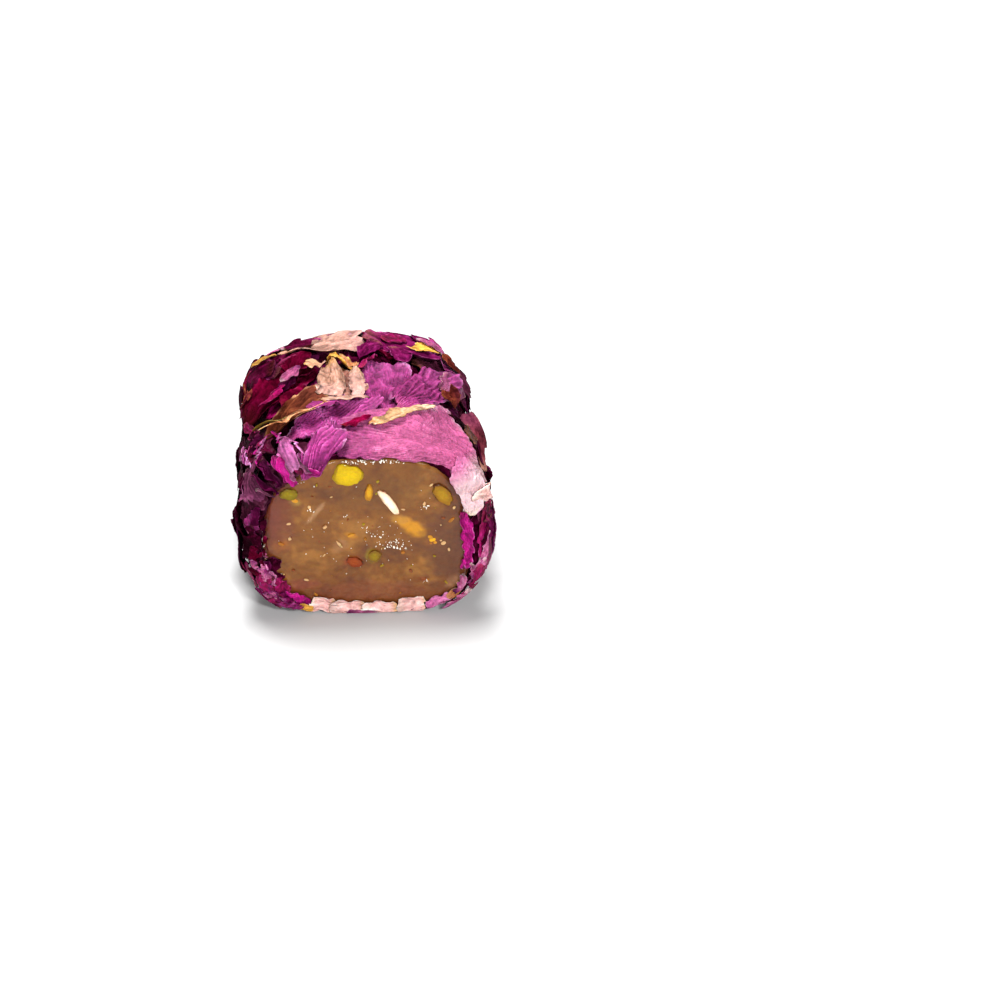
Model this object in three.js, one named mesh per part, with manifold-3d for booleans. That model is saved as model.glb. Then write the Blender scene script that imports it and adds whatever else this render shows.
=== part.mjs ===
// A cut length of lokum roll: a soft block of nut-studded jelly in a coat of dried rose petals.
// X runs to the right, the front cut looks along -Y and Z is up. The block stands on its flattened
// foot, with the origin under the middle of its box. All sizes are millimetres.
import * as THREE from "three";
import { mergeVertices } from "three/addons/utils/BufferGeometryUtils.js";
import Module from "manifold-3d";

// ---- Driving dimensions ----
const CUT_LENGTH = 31.5; // between the two knife cuts
const SECTION = { halfWidth: 16.2, halfHeight: 13.75, middle: 13.35, taper: 0.05 };
const ROUNDNESS = { top: 2.85, foot: 2.9 }; // the section's powers, 2 for an ellipse
const COAT_DEPTH = { top: 0.85, side: 1.5, foot: 1.1 }; // of pressed petals over the jelly
const BACK = { narrower: 0.035, shift: -1.1, lower: 0.02, lean: 0.0024 }; // how the back cut differs
const END_ARC = 3.4; // petal surface that rounds over each cut edge
const END_DEPTH = 1.6; // depth of that rounding along Y
const SIDE = CUT_LENGTH - 2 * END_DEPTH; // straight stretch between the roundings
const COLUMNS = 76; // round the section
const END_ROWS = 3; // over each rounding
const SIDE_ROWS = 16;
const COAT_GAP = 0.08; // between the jelly and the inside of the coat
const COAT_LIP = 0.25; // how far the coat's edge stands in front of the cut, at least
const CUT_RINGS = [0.72]; // rings of a cut face, as shares of its outline
const CUT_BULGE = 0.35; // how far the cut faces swell in the middle

const CELL = 0.5; // of the height map that petals are laid on
const MAP_EDGE = END_ARC + 4; // how far the map runs past the straight side

// Small petals pressed into the jelly all round, which make the coat's relief.
const UNDER = { seed: 41, columns: 14, rows: 5, overhang: 1.5, lift: 0.45, pressedTo: 1.2 };
const UNDER_SIZE = { length: [8, 13], narrowness: [0.65, 0.85], curl: [3, 12] };
const UNDER_LAY = { thick: 0.12, gap: 0.03, reach: 2, rings: 4, spokes: 16 };

// Large petals that show singly, in the order they were laid. s is round the section from the top
// middle, clockwise seen from the front, m runs back from the front rounding, and turn is where
// the tip points, in degrees from straight back towards growing s. curl is how far the long edges
// curl up, in degrees. raise lifts the side that raiseTo names, in degrees from the tip. wave
// frills the edge.
const LARGE_LAY = { thick: 0.28, gap: 0.25, reach: 3, rings: 4, spokes: 16 };
const LYING_PETAL = { curl: 6, raise: 0.2, raiseTo: 0, wave: 0.2 };
const PETALS = [
  { s: -18, m: 1.2, turn: 200, length: 10, width: 8, curl: 8, raiseTo: 30, color: 0x8a4a78 },
  { s: -26, m: 3, turn: 150, length: 13, width: 9, raiseTo: 200, color: 0x6a1848 },
  { s: -23.5, m: 13, turn: 20, length: 14, width: 10, raise: 0.3, raiseTo: 90, color: 0x5a1440 },
  { s: -29, m: 22, turn: 100, length: 13, width: 9.5, curl: 5, color: 0x7a2060 },
  { s: -16.5, m: 24, turn: 10, length: 12, width: 9, raiseTo: 60, color: 0x6e1c54 },
  { s: -31.5, m: 11, turn: 200, length: 11, width: 8, curl: 5, raiseTo: 90, color: 0x741a58 },
  { s: -32.6, m: -0.6, turn: 265, length: 8.5, width: 4.2, curl: 8, raise: 0.1, color: 0x9c2470 },
  { s: 21.5, m: 7, turn: 100, length: 13, width: 9, raiseTo: 180, color: 0x6e1a50 },
  { s: 27, m: 14.5, turn: 170, length: 14, width: 10, raise: 0.3, raiseTo: 90, color: 0x7a1c58 },
  { s: 20.5, m: 22.5, turn: 60, length: 13, width: 10, raiseTo: 300, color: 0x8a2c74 },
  { s: 30.5, m: 24, turn: 10, length: 12, width: 9, curl: 5, color: 0x742060 },
  { s: 31.5, m: 5.5, turn: 120, length: 11, width: 8, curl: 5, color: 0x8c2268 },
  { s: 12.6, m: 22, turn: 75, length: 10.5, width: 8, color: 0x8c3a60 },
  { s: -12, m: 18, turn: 72, length: 13, width: 9, curl: 18, raiseTo: 250, wave: 0.4, color: 0x9a1460 },
  { s: 3.4, m: 11.8, turn: 0, length: 14.5, width: 8.6, curl: 3, raise: 0.1, wave: 0.1, color: 0xa64c9c },
  { s: 7.8, m: 14.2, turn: 36, length: 16.5, width: 8, curl: 5, raiseTo: 40, wave: 0.1, color: 0xa04496 },
  { s: -5.6, m: 6.2, turn: -117, length: 13.5, width: 7.5, curl: 5, raise: 0.1, wave: 0.1, color: 0x96388c },
  { s: 8.6, m: 2.1, turn: -93, length: 24, width: 12, curl: 1, raise: 0, wave: 0, color: 0xd080bc },
  { s: -6.4, m: 0, turn: -114, length: 11, width: 6.4, curl: 8, raise: 0.1, wave: 0.1, color: 0x9c3c90 },
  { s: -9.8, m: -3, turn: 186, length: 7, width: 4.4, curl: 12, raise: 0.1, wave: 0.1, color: 0xc258a0 },
  { s: -12.8, m: 1.2, turn: 200, length: 9.5, width: 4.8, curl: 14, raiseTo: 270, color: 0xb04898 },
  { s: 25, m: -0.8, turn: 88, length: 13, width: 5.4, curl: 16, raise: 0.1, raiseTo: 90, color: 0xb4207c },
  { s: -3, m: 17.8, turn: 175, length: 13.5, width: 7.6, curl: 32, raiseTo: 180, wave: 0.5, color: 0xd8b4b0 },
  { s: -10.8, m: 11.2, turn: 73, length: 12, width: 6.8, curl: 44, raise: 0, color: 0xb47c5c },
  { s: -4.5, m: 26, turn: 85, length: 12, width: 8, curl: 5, raise: 0.1, color: 0xd8a898 },
  { s: 6.8, m: 25.4, turn: 100, length: 12, width: 8.5, curl: 5, raise: 0.1, raiseTo: 90, color: 0x943c8c },
  { s: 17.9, m: 14.4, turn: 20, length: 7.6, width: 6.4, curl: 8, raise: 2.3, raiseTo: -70, color: 0x7c4470 },
].map((own) => ({ ...LYING_PETAL, ...own }));

// Nuts that the knife laid bare. x and z are on the cut face, and turn is clockwise from upright.
const NUT_SINK = 0.3; // how far a nut's middle lies behind the cut, as a share of its width
const NUT_PROUD = 0.2; // of the cut
const NUT_CLEARANCE = 0.3; // all round in its pocket
const FRONT_NUTS = [
  { name: "pistachio_gold", x: -2.3, z: 23.2, wide: 3.5, high: 2.8, turn: -10, color: 0xcdb818 },
  { name: "pistachio_sliver", x: 0.1, z: 21.1, wide: 1.2, high: 2.9, turn: 5, color: 0xb0a02c },
  { name: "pistachio_green", x: -10.4, z: 21.7, wide: 2.2, high: 1.7, turn: 0, color: 0x8a9a24 },
  { name: "almond_sliver", x: 2.9, z: 19.9, wide: 1.8, high: 4.6, turn: -32, color: 0xe6dcc8 },
  { name: "pistachio_dark", x: 10.2, z: 21.2, wide: 2.2, high: 3.6, turn: -33, color: 0x8a7c2c },
  { name: "pistachio_olive", x: 0.9, z: 10.5, wide: 2, high: 2.3, turn: 10, color: 0x8c8420 },
  { name: "hazelnut_crumb", x: -1.9, z: 10.1, wide: 2.1, high: 1.6, turn: 20, color: 0x8a3c18 },
];
const BACK_NUTS = [
  { name: "pistachio_back_1", x: 5.2, z: 20.5, wide: 3.2, high: 2.4, turn: 25, color: 0xb8ae24 },
  { name: "pistachio_back_2", x: -7.4, z: 15.4, wide: 2.4, high: 3.3, turn: -40, color: 0x8f9228 },
  { name: "almond_back", x: -1.5, z: 21.2, wide: 1.7, high: 4, turn: 60, color: 0xe2d6c0 },
  { name: "pistachio_back_3", x: 7.5, z: 9.2, wide: 2.2, high: 2, turn: 0, color: 0x9a8c28 },
];

// ---- Section and surface ----
const TOP_MIDDLE = Math.PI / 2;
const OUTLINE_STEPS = 1440;

const mix = (a, b, t) => a + (b - a) * t;
const mod = (a, n) => ((a % n) + n) % n;

// The coat's outline, a box with full round corners, as [x, z] by angle.
function outlineAt(angle) {
  const c = Math.cos(angle);
  const s = Math.sin(angle);
  const power = 2 / (s > 0 ? ROUNDNESS.top : ROUNDNESS.foot);
  const up = SECTION.halfHeight * Math.sign(s) * Math.abs(s) ** power;
  const across = SECTION.halfWidth * Math.sign(c) * Math.abs(c) ** power;
  return [across * (1 - (SECTION.taper * up) / SECTION.halfHeight), SECTION.middle + up];
}

// The outline step by step: the length run so far, the way out, and the coat's depth there.
function measureOutline() {
  const turn = (2 * Math.PI) / OUTLINE_STEPS;
  const steps = [];
  let run = 0;
  for (let i = 0; i <= OUTLINE_STEPS; i++) {
    const angle = TOP_MIDDLE - turn * i;
    const coat = outlineAt(angle);
    const [before, after] = [outlineAt(angle + turn / 2), outlineAt(angle - turn / 2)];
    const step = Math.hypot(after[0] - before[0], after[1] - before[1]);
    const out = [-(after[1] - before[1]) / step, (after[0] - before[0]) / step];
    const upright = Math.sin(angle) > 0 ? COAT_DEPTH.top : COAT_DEPTH.foot;
    const depth = mix(COAT_DEPTH.side, upright, Math.sin(angle) ** 2);
    if (i > 0) run += Math.hypot(coat[0] - steps[i - 1].coat[0], coat[1] - steps[i - 1].coat[1]);
    steps.push({ run, coat, out, depth });
  }
  return steps;
}
const OUTLINE = measureOutline();
const PERIMETER = OUTLINE[OUTLINE_STEPS].run;

// The section at a length s round it: the jelly's edge, the way out, and the coat's depth.
function sectionAt(s) {
  const run = mod(s, PERIMETER);
  let low = 0;
  let high = OUTLINE_STEPS;
  while (high - low > 1) {
    const middle = (low + high) >> 1;
    if (OUTLINE[middle].run > run) high = middle;
    else low = middle;
  }
  const [a, b] = [OUTLINE[low], OUTLINE[high]];
  const t = (run - a.run) / (b.run - a.run);
  const depth = mix(a.depth, b.depth, t);
  const out = [mix(a.out[0], b.out[0], t), mix(a.out[1], b.out[1], t)];
  const coat = [mix(a.coat[0], b.coat[0], t), mix(a.coat[1], b.coat[1], t)];
  return { jelly: [coat[0] - out[0] * depth, coat[1] - out[1] * depth], out, depth };
}

// The hand-cut block isn't quite square: its back is narrower, lower and to one side.
function settle(x, y, z) {
  const u = y / CUT_LENGTH + 0.5;
  const sideways = x * (1 - BACK.narrower * u) + BACK.shift * u;
  const up = z * (1 - BACK.lower * u) + BACK.lean * u * x * z;
  return new THREE.Vector3(sideways, y, Math.max(up, 0));
}

// The point at height h over the coat's base, s round the section and m along the roll, where m
// below 0 and above SIDE run over the roundings and onto the cut faces.
function surface(s, m, h, least = 0) {
  const { jelly, out, depth } = sectionAt(s);
  const straight = THREE.MathUtils.clamp(m, 0, SIDE);
  const over = Math.max(-m, m - SIDE, 0);
  const angle = (Math.min(over / END_ARC, 1) * Math.PI) / 2;
  const inwards = Math.max(over - END_ARC, 0);
  const end = m < 0 ? -1 : 1;
  const y = -CUT_LENGTH / 2 + depth + (straight * (CUT_LENGTH - 2 * depth)) / SIDE;
  const rise = depth + h;
  const outwards = Math.max(rise * Math.cos(angle) - inwards, inwards > 0 ? -Infinity : least);
  return settle(jelly[0] + out[0] * outwards, y + end * rise * Math.sin(angle), jelly[1] + out[1] * outwards);
}

// ---- The height map that petals are laid on ----
const MAP_S = Math.round(PERIMETER / CELL);
const MAP_M = Math.round((SIDE + 2 * MAP_EDGE) / CELL) + 1;
const heights = new Float64Array(MAP_S * MAP_M);
const cellOf = (s, m) => [
  (mod(s, PERIMETER) / PERIMETER) * MAP_S,
  THREE.MathUtils.clamp((m + MAP_EDGE) / CELL, 0, MAP_M - 1.001),
];

// The map's value between its cells.
function heightAt(map, s, m) {
  const [i, j] = cellOf(s, m);
  const [i0, j0] = [Math.floor(i), Math.floor(j)];
  const at = (a, b) => map[(a % MAP_S) * MAP_M + b];
  const near = mix(at(i0, j0), at(i0, j0 + 1), j - j0);
  const far = mix(at(i0 + 1, j0), at(i0 + 1, j0 + 1), j - j0);
  return mix(near, far, i - i0);
}

function raise(s, m, height) {
  const [i, j] = cellOf(s, m);
  const at = (Math.round(i) % MAP_S) * MAP_M + Math.round(j);
  heights[at] = Math.max(heights[at], height);
}

// One pass of a filter over the map, along s or along m.
function filtered(map, reach, alongS, combine) {
  const result = new Float64Array(map.length);
  const window = new Float64Array(2 * reach + 1);
  for (let i = 0; i < MAP_S; i++) {
    for (let j = 0; j < MAP_M; j++) {
      for (let k = -reach; k <= reach; k++) {
        const a = alongS ? mod(i + k, MAP_S) : i;
        const b = alongS ? j : THREE.MathUtils.clamp(j + k, 0, MAP_M - 1);
        window[k + reach] = map[a * MAP_M + b];
      }
      result[i * MAP_M + j] = combine(window, reach);
    }
  }
  return result;
}

const highest = (window) => Math.max(...window);

function softened(window, reach) {
  let sum = 0;
  for (let k = 0; k < window.length; k++) sum += window[k] * (reach + 1 - Math.abs(k - reach));
  return sum / (reach + 1) ** 2;
}

// What a petal lies on, stiff over a reach of cells: never below the map, and smooth.
function bridged(reach) {
  const peaks = filtered(filtered(heights, reach, true, highest), reach, false, highest);
  return filtered(filtered(peaks, reach, true, softened), reach, false, softened);
}

// ---- Petals ----
function makeRandom(seed) {
  let state = seed >>> 0;
  return () => {
    state = (state + 0x6d2b79f5) | 0;
    let t = Math.imul(state ^ (state >>> 15), 1 | state);
    t = (t + Math.imul(t ^ (t >>> 7), 61 | t)) ^ t;
    return ((t ^ (t >>> 14)) >>> 0) / 2 ** 32;
  };
}

const radians = THREE.MathUtils.degToRad;
const TIP_BROADER = 0.22; // than the claw, as a share of the width
const NOTCH = { depth: 0.1, width: 0.4 }; // at the tip
const RAGGED = 0.05;
const FRILLS = 3; // round the edge
const RAISE_FINE = 1.5; // steps to a map cell when a laid petal raises the map

// A petal's middle surface at a share rho of the way to its edge, by angle from the tip, with the
// height that it has of its own.
function petalPoint(petal, phase, rho, angle) {
  const fromTip = Math.atan2(Math.sin(angle), Math.cos(angle));
  const ragged = 1 + RAGGED * rho * (Math.sin(3 * angle + phase) + Math.sin(5 * angle + 2 * phase));
  const notch = 1 - NOTCH.depth * rho * Math.exp(-((fromTip / NOTCH.width) ** 2));
  const along = (petal.length / 2) * rho * Math.cos(angle) * ragged * notch;
  const broad = 1 - TIP_BROADER / 2 + TIP_BROADER * Math.cos(angle);
  const flat = (petal.width / 2) * rho * Math.sin(angle) * ragged * broad;
  const bend = petal.width / 2 / Math.max(radians(petal.curl), 0.01);
  const across = bend * Math.sin(flat / bend);
  const curled = bend * (1 - Math.cos(flat / bend));
  const raised = petal.raise * rho ** 2 * (0.5 + 0.5 * Math.cos(angle - radians(petal.raiseTo)));
  const frill = petal.wave * rho ** 3 * (0.5 + 0.5 * Math.sin(FRILLS * angle + 3 * phase));
  const turn = radians(petal.turn);
  return {
    s: petal.s + along * Math.sin(turn) + across * Math.cos(turn),
    m: petal.m + along * Math.cos(turn) - across * Math.sin(turn),
    h: curled + raised + frill,
  };
}

// Lays a petal on what is there, and returns its rings of points, the first ring all middle.
function layPetal(petal, phase, { thick, gap, reach, rings, spokes }) {
  const support = bridged(reach);
  const laid = [];
  for (let ring = 0; ring <= rings; ring++) {
    laid.push([]);
    for (let spoke = 0; spoke < spokes; spoke++) {
      const point = petalPoint(petal, phase, ring / rings, (2 * Math.PI * spoke) / spokes);
      point.h += heightAt(support, point.s, point.m) + gap + thick / 2;
      laid[ring].push(point);
    }
  }
  const fine = Math.ceil((RAISE_FINE * petal.length) / rings / CELL);
  for (let ring = 0; ring < rings; ring++) {
    for (let spoke = 0; spoke < spokes; spoke++) {
      const next = (spoke + 1) % spokes;
      const corners = [laid[ring][spoke], laid[ring][next], laid[ring + 1][spoke], laid[ring + 1][next]];
      for (let a = 0; a <= fine; a++) {
        for (let b = 0; b <= fine; b++) {
          const between = (key) =>
            mix(
              mix(corners[0][key], corners[1][key], a / fine),
              mix(corners[2][key], corners[3][key], a / fine),
              b / fine,
            );
          raise(between("s"), between("m"), between("h") + thick / 2);
        }
      }
    }
  }
  return laid;
}

// The small petals under the large ones.
function layUnderPetals() {
  const random = makeRandom(UNDER.seed);
  const between = (a, b) => mix(a, b, random());
  const places = [];
  for (let column = 0; column < UNDER.columns; column++) {
    for (let row = 0; row < UNDER.rows; row++) places.push([column, row]);
  }
  places.sort(([a, b], [c, d]) => ((a * 5 + b * 8) % 13) - ((c * 5 + d * 8) % 13));
  for (const [column, row] of places) {
    const length = between(...UNDER_SIZE.length);
    const petal = {
      s: ((column + between(0.1, 0.9)) * PERIMETER) / UNDER.columns,
      m: mix(-UNDER.overhang, SIDE + UNDER.overhang, (row + between(-0.2, 0.2)) / (UNDER.rows - 1)),
      turn: between(0, 360),
      length,
      width: length * between(...UNDER_SIZE.narrowness),
      curl: between(...UNDER_SIZE.curl),
      raise: between(0, UNDER.lift),
      raiseTo: between(0, 360),
      wave: between(0, UNDER.lift),
    };
    layPetal(petal, between(0, 6), UNDER_LAY);
  }
  for (let i = 0; i < heights.length; i++) {
    heights[i] = UNDER.pressedTo * Math.tanh(heights[i] / UNDER.pressedTo);
  }
}

// ---- Solids ----
// A closed solid from its points and quads or triangles, turned so that its faces look out.
function closedGeometry(points, faces) {
  const index = [];
  for (const [a, b, c, d] of faces) {
    index.push(a, b, c);
    if (d !== undefined) index.push(a, c, d);
  }
  let volume = 0;
  for (let i = 0; i < index.length; i += 3) {
    const [p, q, r] = [points[index[i]], points[index[i + 1]], points[index[i + 2]]];
    volume += p.dot(q.clone().cross(r));
  }
  if (volume < 0) index.reverse();
  const geometry = new THREE.BufferGeometry();
  geometry.setAttribute("position", new THREE.Float32BufferAttribute(points.flatMap((p) => p.toArray()), 3));
  geometry.setIndex(index);
  geometry.computeVertexNormals();
  return geometry;
}

// The m of each row of the coat, from one cut edge over the side to the other.
function coatRows() {
  const rows = [];
  for (let i = 0; i < END_ROWS; i++) rows.push(-END_ARC * (1 - i / END_ROWS));
  for (let i = 0; i <= SIDE_ROWS; i++) rows.push((SIDE * i) / SIDE_ROWS);
  for (let i = 1; i <= END_ROWS; i++) rows.push(SIDE + (END_ARC * i) / END_ROWS);
  return rows;
}

// The coat of pressed petals: a sleeve with the petals' relief outside and a plain wall inside.
function coatGeometry() {
  const rows = coatRows();
  const profile = rows.length + 2;
  const points = [];
  const tops = [];
  for (let column = 0; column < COLUMNS; column++) {
    const s = (PERIMETER * column) / COLUMNS;
    const { jelly, out } = sectionAt(s);
    const wall = [jelly[0] + out[0] * COAT_GAP, jelly[1] + out[1] * COAT_GAP];
    const row = rows.map((m) => Math.max(heightAt(heights, s, m), m < 0 || m > SIDE ? COAT_LIP : 0));
    tops.push(row);
    rows.forEach((m, j) => points.push(surface(s, m, row[j], COAT_GAP)));
    points.push(settle(wall[0], CUT_LENGTH / 2, wall[1]));
    points.push(settle(wall[0], -CUT_LENGTH / 2, wall[1]));
  }
  const faces = [];
  for (let column = 0; column < COLUMNS; column++) {
    const next = (column + 1) % COLUMNS;
    for (let j = 0; j < profile; j++) {
      const k = (j + 1) % profile;
      faces.push([column * profile + j, next * profile + j, next * profile + k, column * profile + k]);
    }
  }
  return { geometry: closedGeometry(points, faces), rows, tops };
}

// Sets the map to the coat's own faces, which the large petals lie on.
function layCoat({ rows, tops }) {
  for (let i = 0; i < MAP_S; i++) {
    const at = (i / MAP_S) * COLUMNS;
    const column = Math.floor(at);
    const next = (column + 1) % COLUMNS;
    for (let j = 0; j < MAP_M; j++) {
      const m = THREE.MathUtils.clamp(j * CELL - MAP_EDGE, rows[0], rows[rows.length - 1]);
      let row = 0;
      while (row < rows.length - 2 && rows[row + 1] < m) row++;
      const t = (m - rows[row]) / (rows[row + 1] - rows[row]);
      const near = mix(tops[column][row], tops[column][row + 1], t);
      const far = mix(tops[next][row], tops[next][row + 1], t);
      heights[i * MAP_M + j] = mix(near, far, at - column);
    }
  }
}

// How far a cut face swells at a place on it.
function bulge(x, z) {
  const across = 1 - (x / SECTION.halfWidth) ** 2;
  const up = 1 - ((z - SECTION.middle) / SECTION.halfHeight) ** 2;
  return CUT_BULGE * Math.max(across, 0) * Math.max(up, 0);
}

// The jelly runs through from cut to cut.
function jellyGeometry() {
  const points = [];
  const rings = [];
  const addRing = (share, end) => {
    const ring = [];
    for (let column = 0; column < COLUMNS; column++) {
      const { jelly } = sectionAt((PERIMETER * column) / COLUMNS);
      const x = jelly[0] * share;
      const z = mix(SECTION.middle, jelly[1], share);
      ring.push(points.length);
      points.push(settle(x, end * (CUT_LENGTH / 2 + (share < 1 ? bulge(x, z) : 0)), z));
    }
    rings.push(ring);
  };
  for (const share of [...CUT_RINGS].reverse()) addRing(share, -1);
  addRing(1, -1);
  addRing(1, 1);
  for (const share of CUT_RINGS) addRing(share, 1);
  const faces = [];
  for (let i = 0; i + 1 < rings.length; i++) {
    for (let a = 0; a < COLUMNS; a++) {
      const b = (a + 1) % COLUMNS;
      faces.push([rings[i][a], rings[i][b], rings[i + 1][b], rings[i + 1][a]]);
    }
  }
  for (const end of [-1, 1]) {
    const ring = end < 0 ? rings[0] : rings[rings.length - 1];
    const middle = points.length;
    points.push(settle(0, end * (CUT_LENGTH / 2 + CUT_BULGE), SECTION.middle));
    for (let a = 0; a < COLUMNS; a++) {
      const b = (a + 1) % COLUMNS;
      faces.push(end < 0 ? [middle, ring[b], ring[a]] : [middle, ring[a], ring[b]]);
    }
  }
  return closedGeometry(points, faces);
}

// A thin solid petal from its rings of points, both faces split alike.
function petalGeometry(laid, thick) {
  const rings = laid.length - 1;
  const spokes = laid[0].length;
  const middle = [surface(laid[0][0].s, laid[0][0].m, laid[0][0].h)];
  for (let ring = 1; ring <= rings; ring++) {
    for (const { s, m, h } of laid[ring]) middle.push(surface(s, m, h));
  }
  const at = (ring, spoke) => (ring === 0 ? 0 : 1 + (ring - 1) * spokes + (spoke % spokes));
  const sheet = [];
  for (let spoke = 0; spoke < spokes; spoke++) {
    sheet.push([0, at(1, spoke), at(1, spoke + 1)]);
    for (let ring = 1; ring < rings; ring++) {
      sheet.push([at(ring, spoke), at(ring + 1, spoke), at(ring + 1, spoke + 1), at(ring, spoke + 1)]);
    }
  }
  const normals = closedGeometry(middle, sheet).getAttribute("normal");
  const count = middle.length;
  const normal = (i) => new THREE.Vector3().fromBufferAttribute(normals, i);
  const offset = (side) => middle.map((p, i) => normal(i).multiplyScalar(side * thick).add(p));
  const rim = [];
  for (let spoke = 0; spoke < spokes; spoke++) {
    const [a, b] = [at(rings, spoke), at(rings, spoke + 1)];
    rim.push([a, a + count, b + count, b]);
  }
  const faces = [...sheet, ...sheet.map((face) => face.map((i) => i + count).reverse()), ...rim];
  return closedGeometry([...offset(0.5), ...offset(-0.5)], faces);
}

// ---- Nuts and their pockets ----
const wasm = await Module();
wasm.setup();

function toSolid(geometry) {
  const bare = geometry.clone();
  bare.deleteAttribute("normal");
  bare.deleteAttribute("uv");
  const merged = mergeVertices(bare, 1e-4);
  return new wasm.Manifold(
    new wasm.Mesh({
      numProp: 3,
      vertProperties: merged.attributes.position.array,
      triVerts: new Uint32Array(merged.index.array),
    }),
  );
}

function toGeometry(solid) {
  const mesh = solid.getMesh();
  const geometry = new THREE.BufferGeometry();
  const positions = [];
  for (let i = 0; i < mesh.numVert; i++) {
    positions.push(...mesh.vertProperties.slice(i * mesh.numProp, i * mesh.numProp + 3));
  }
  geometry.setAttribute("position", new THREE.Float32BufferAttribute(positions, 3));
  geometry.setIndex([...mesh.triVerts]);
  geometry.computeVertexNormals();
  return geometry;
}

const LUMPS = 0.065;

// A nut as a lumpy pebble round its own middle, grown by a clearance for its pocket.
function pebble(nut, clearance) {
  const geometry = new THREE.IcosahedronGeometry(1, 1);
  const position = geometry.getAttribute("position");
  const point = new THREE.Vector3();
  for (let i = 0; i < position.count; i++) {
    point.fromBufferAttribute(position, i);
    const lump = 1 + LUMPS * (Math.sin(3 * point.x + nut.x) + Math.sin(4 * point.z + nut.z));
    position.setXYZ(i, point.x * lump, point.y, point.z * lump);
  }
  geometry.scale(nut.wide / 2 + clearance, nut.wide / 2 + clearance, nut.high / 2 + clearance);
  geometry.rotateY(radians(nut.turn));
  return geometry;
}

// Moves a nut's geometry to its place in a cut face, end -1 at the front and 1 at the back.
function placed(geometry, nut, end) {
  const depth = CUT_LENGTH / 2 + bulge(nut.x, nut.z) - nut.wide * NUT_SINK;
  const middle = settle(nut.x, end * depth, nut.z);
  return geometry.translate(middle.x, middle.y, middle.z);
}

// A nut is sliced a little in front of the cut.
const KNIFE = { size: 100, deep: 20 };

function nutSolid(nut, end) {
  const face = end * (CUT_LENGTH / 2 + bulge(nut.x, nut.z) + NUT_PROUD);
  const knife = new THREE.BoxGeometry(KNIFE.size, KNIFE.deep, KNIFE.size);
  knife.translate(0, face + (end * KNIFE.deep) / 2, 0);
  return toSolid(placed(pebble(nut, 0), nut, end)).subtract(toSolid(knife));
}

function pocketed(jelly, nuts, end) {
  const pocket = (nut) => toSolid(placed(pebble(nut, NUT_CLEARANCE), nut, end));
  return nuts.reduce((solid, nut) => solid.subtract(pocket(nut)), jelly);
}

// ---- The object ----
const group = new THREE.Group();

function addMesh(name, geometry, color, roughness) {
  const mesh = new THREE.Mesh(geometry, new THREE.MeshStandardMaterial({ color, roughness, metalness: 0 }));
  mesh.name = name;
  group.add(mesh);
}

layUnderPetals();
const coat = coatGeometry();
layCoat(coat);
addMesh("petal_coat", coat.geometry, 0x6c1a50, 0.8);

const jelly = pocketed(pocketed(toSolid(jellyGeometry()), FRONT_NUTS, -1), BACK_NUTS, 1);
addMesh("lokum", toGeometry(jelly), 0x8c6848, 0.25);
for (const nut of FRONT_NUTS) addMesh(nut.name, toGeometry(nutSolid(nut, -1)), nut.color, 0.5);
for (const nut of BACK_NUTS) addMesh(nut.name, toGeometry(nutSolid(nut, 1)), nut.color, 0.5);

PETALS.forEach((petal, i) => {
  const laid = layPetal(petal, i * 1.7, LARGE_LAY);
  addMesh(`petal_${String(i + 1).padStart(2, "0")}`, petalGeometry(laid, LARGE_LAY.thick), petal.color, 0.7);
});

// The origin goes under the middle of the whole box.
const box = new THREE.Box3().setFromObject(group);
const centre = box.getCenter(new THREE.Vector3());
for (const mesh of group.children) mesh.geometry.translate(-centre.x, -centre.y, -box.min.z);

export default group;
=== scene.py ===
import itertools
import math

import bpy
import numpy as np
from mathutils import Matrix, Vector


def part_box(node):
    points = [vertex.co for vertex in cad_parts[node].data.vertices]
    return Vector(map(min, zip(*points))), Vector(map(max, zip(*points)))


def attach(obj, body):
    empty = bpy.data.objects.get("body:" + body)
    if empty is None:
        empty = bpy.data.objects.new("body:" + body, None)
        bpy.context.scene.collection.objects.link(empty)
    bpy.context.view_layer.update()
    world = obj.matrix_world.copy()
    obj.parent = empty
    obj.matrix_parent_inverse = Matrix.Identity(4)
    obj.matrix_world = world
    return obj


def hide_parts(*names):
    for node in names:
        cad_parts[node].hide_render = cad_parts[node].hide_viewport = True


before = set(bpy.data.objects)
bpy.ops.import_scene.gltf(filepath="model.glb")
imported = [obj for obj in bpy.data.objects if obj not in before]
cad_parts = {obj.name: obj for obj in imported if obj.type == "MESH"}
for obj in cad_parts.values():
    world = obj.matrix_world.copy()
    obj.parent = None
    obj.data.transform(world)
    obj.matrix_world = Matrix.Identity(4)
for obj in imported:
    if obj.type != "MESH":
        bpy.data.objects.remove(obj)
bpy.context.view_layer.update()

millimetre = 0.001  # shapes are worked out in millimetres and become metres in buildMesh

block = {
    "cutLength": 31.5,
    "halfWidth": 16.2,
    "halfHeight": 13.75,
    "middle": 13.35,  # height of the section's middle
    "taper": 0.05,
    "topRoundness": 2.85,
    "footRoundness": 2.9,
    "backNarrower": 0.035,  # how the back cut differs from the front one
    "backShift": -1.1,
    "backLower": 0.02,
    "backLean": 0.0024,
}
wrap = {
    "top": 0.85,  # depth of pressed petals over the jelly
    "side": 1.5,
    "foot": 1.1,
    "arc": 3.4,  # petal surface that rounds over each cut edge
    "endDepth": 1.6,
    "floorGap": 0.26,  # petals under the block are squeezed into this height
    "floorEase": 4,  # how softly, in gaps
    "aheadRoom": 1.4,  # how far petals may stand ahead of a cut
}
halfLength = block["cutLength"] / 2
sideLength = block["cutLength"] - 2 * wrap["endDepth"]


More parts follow.
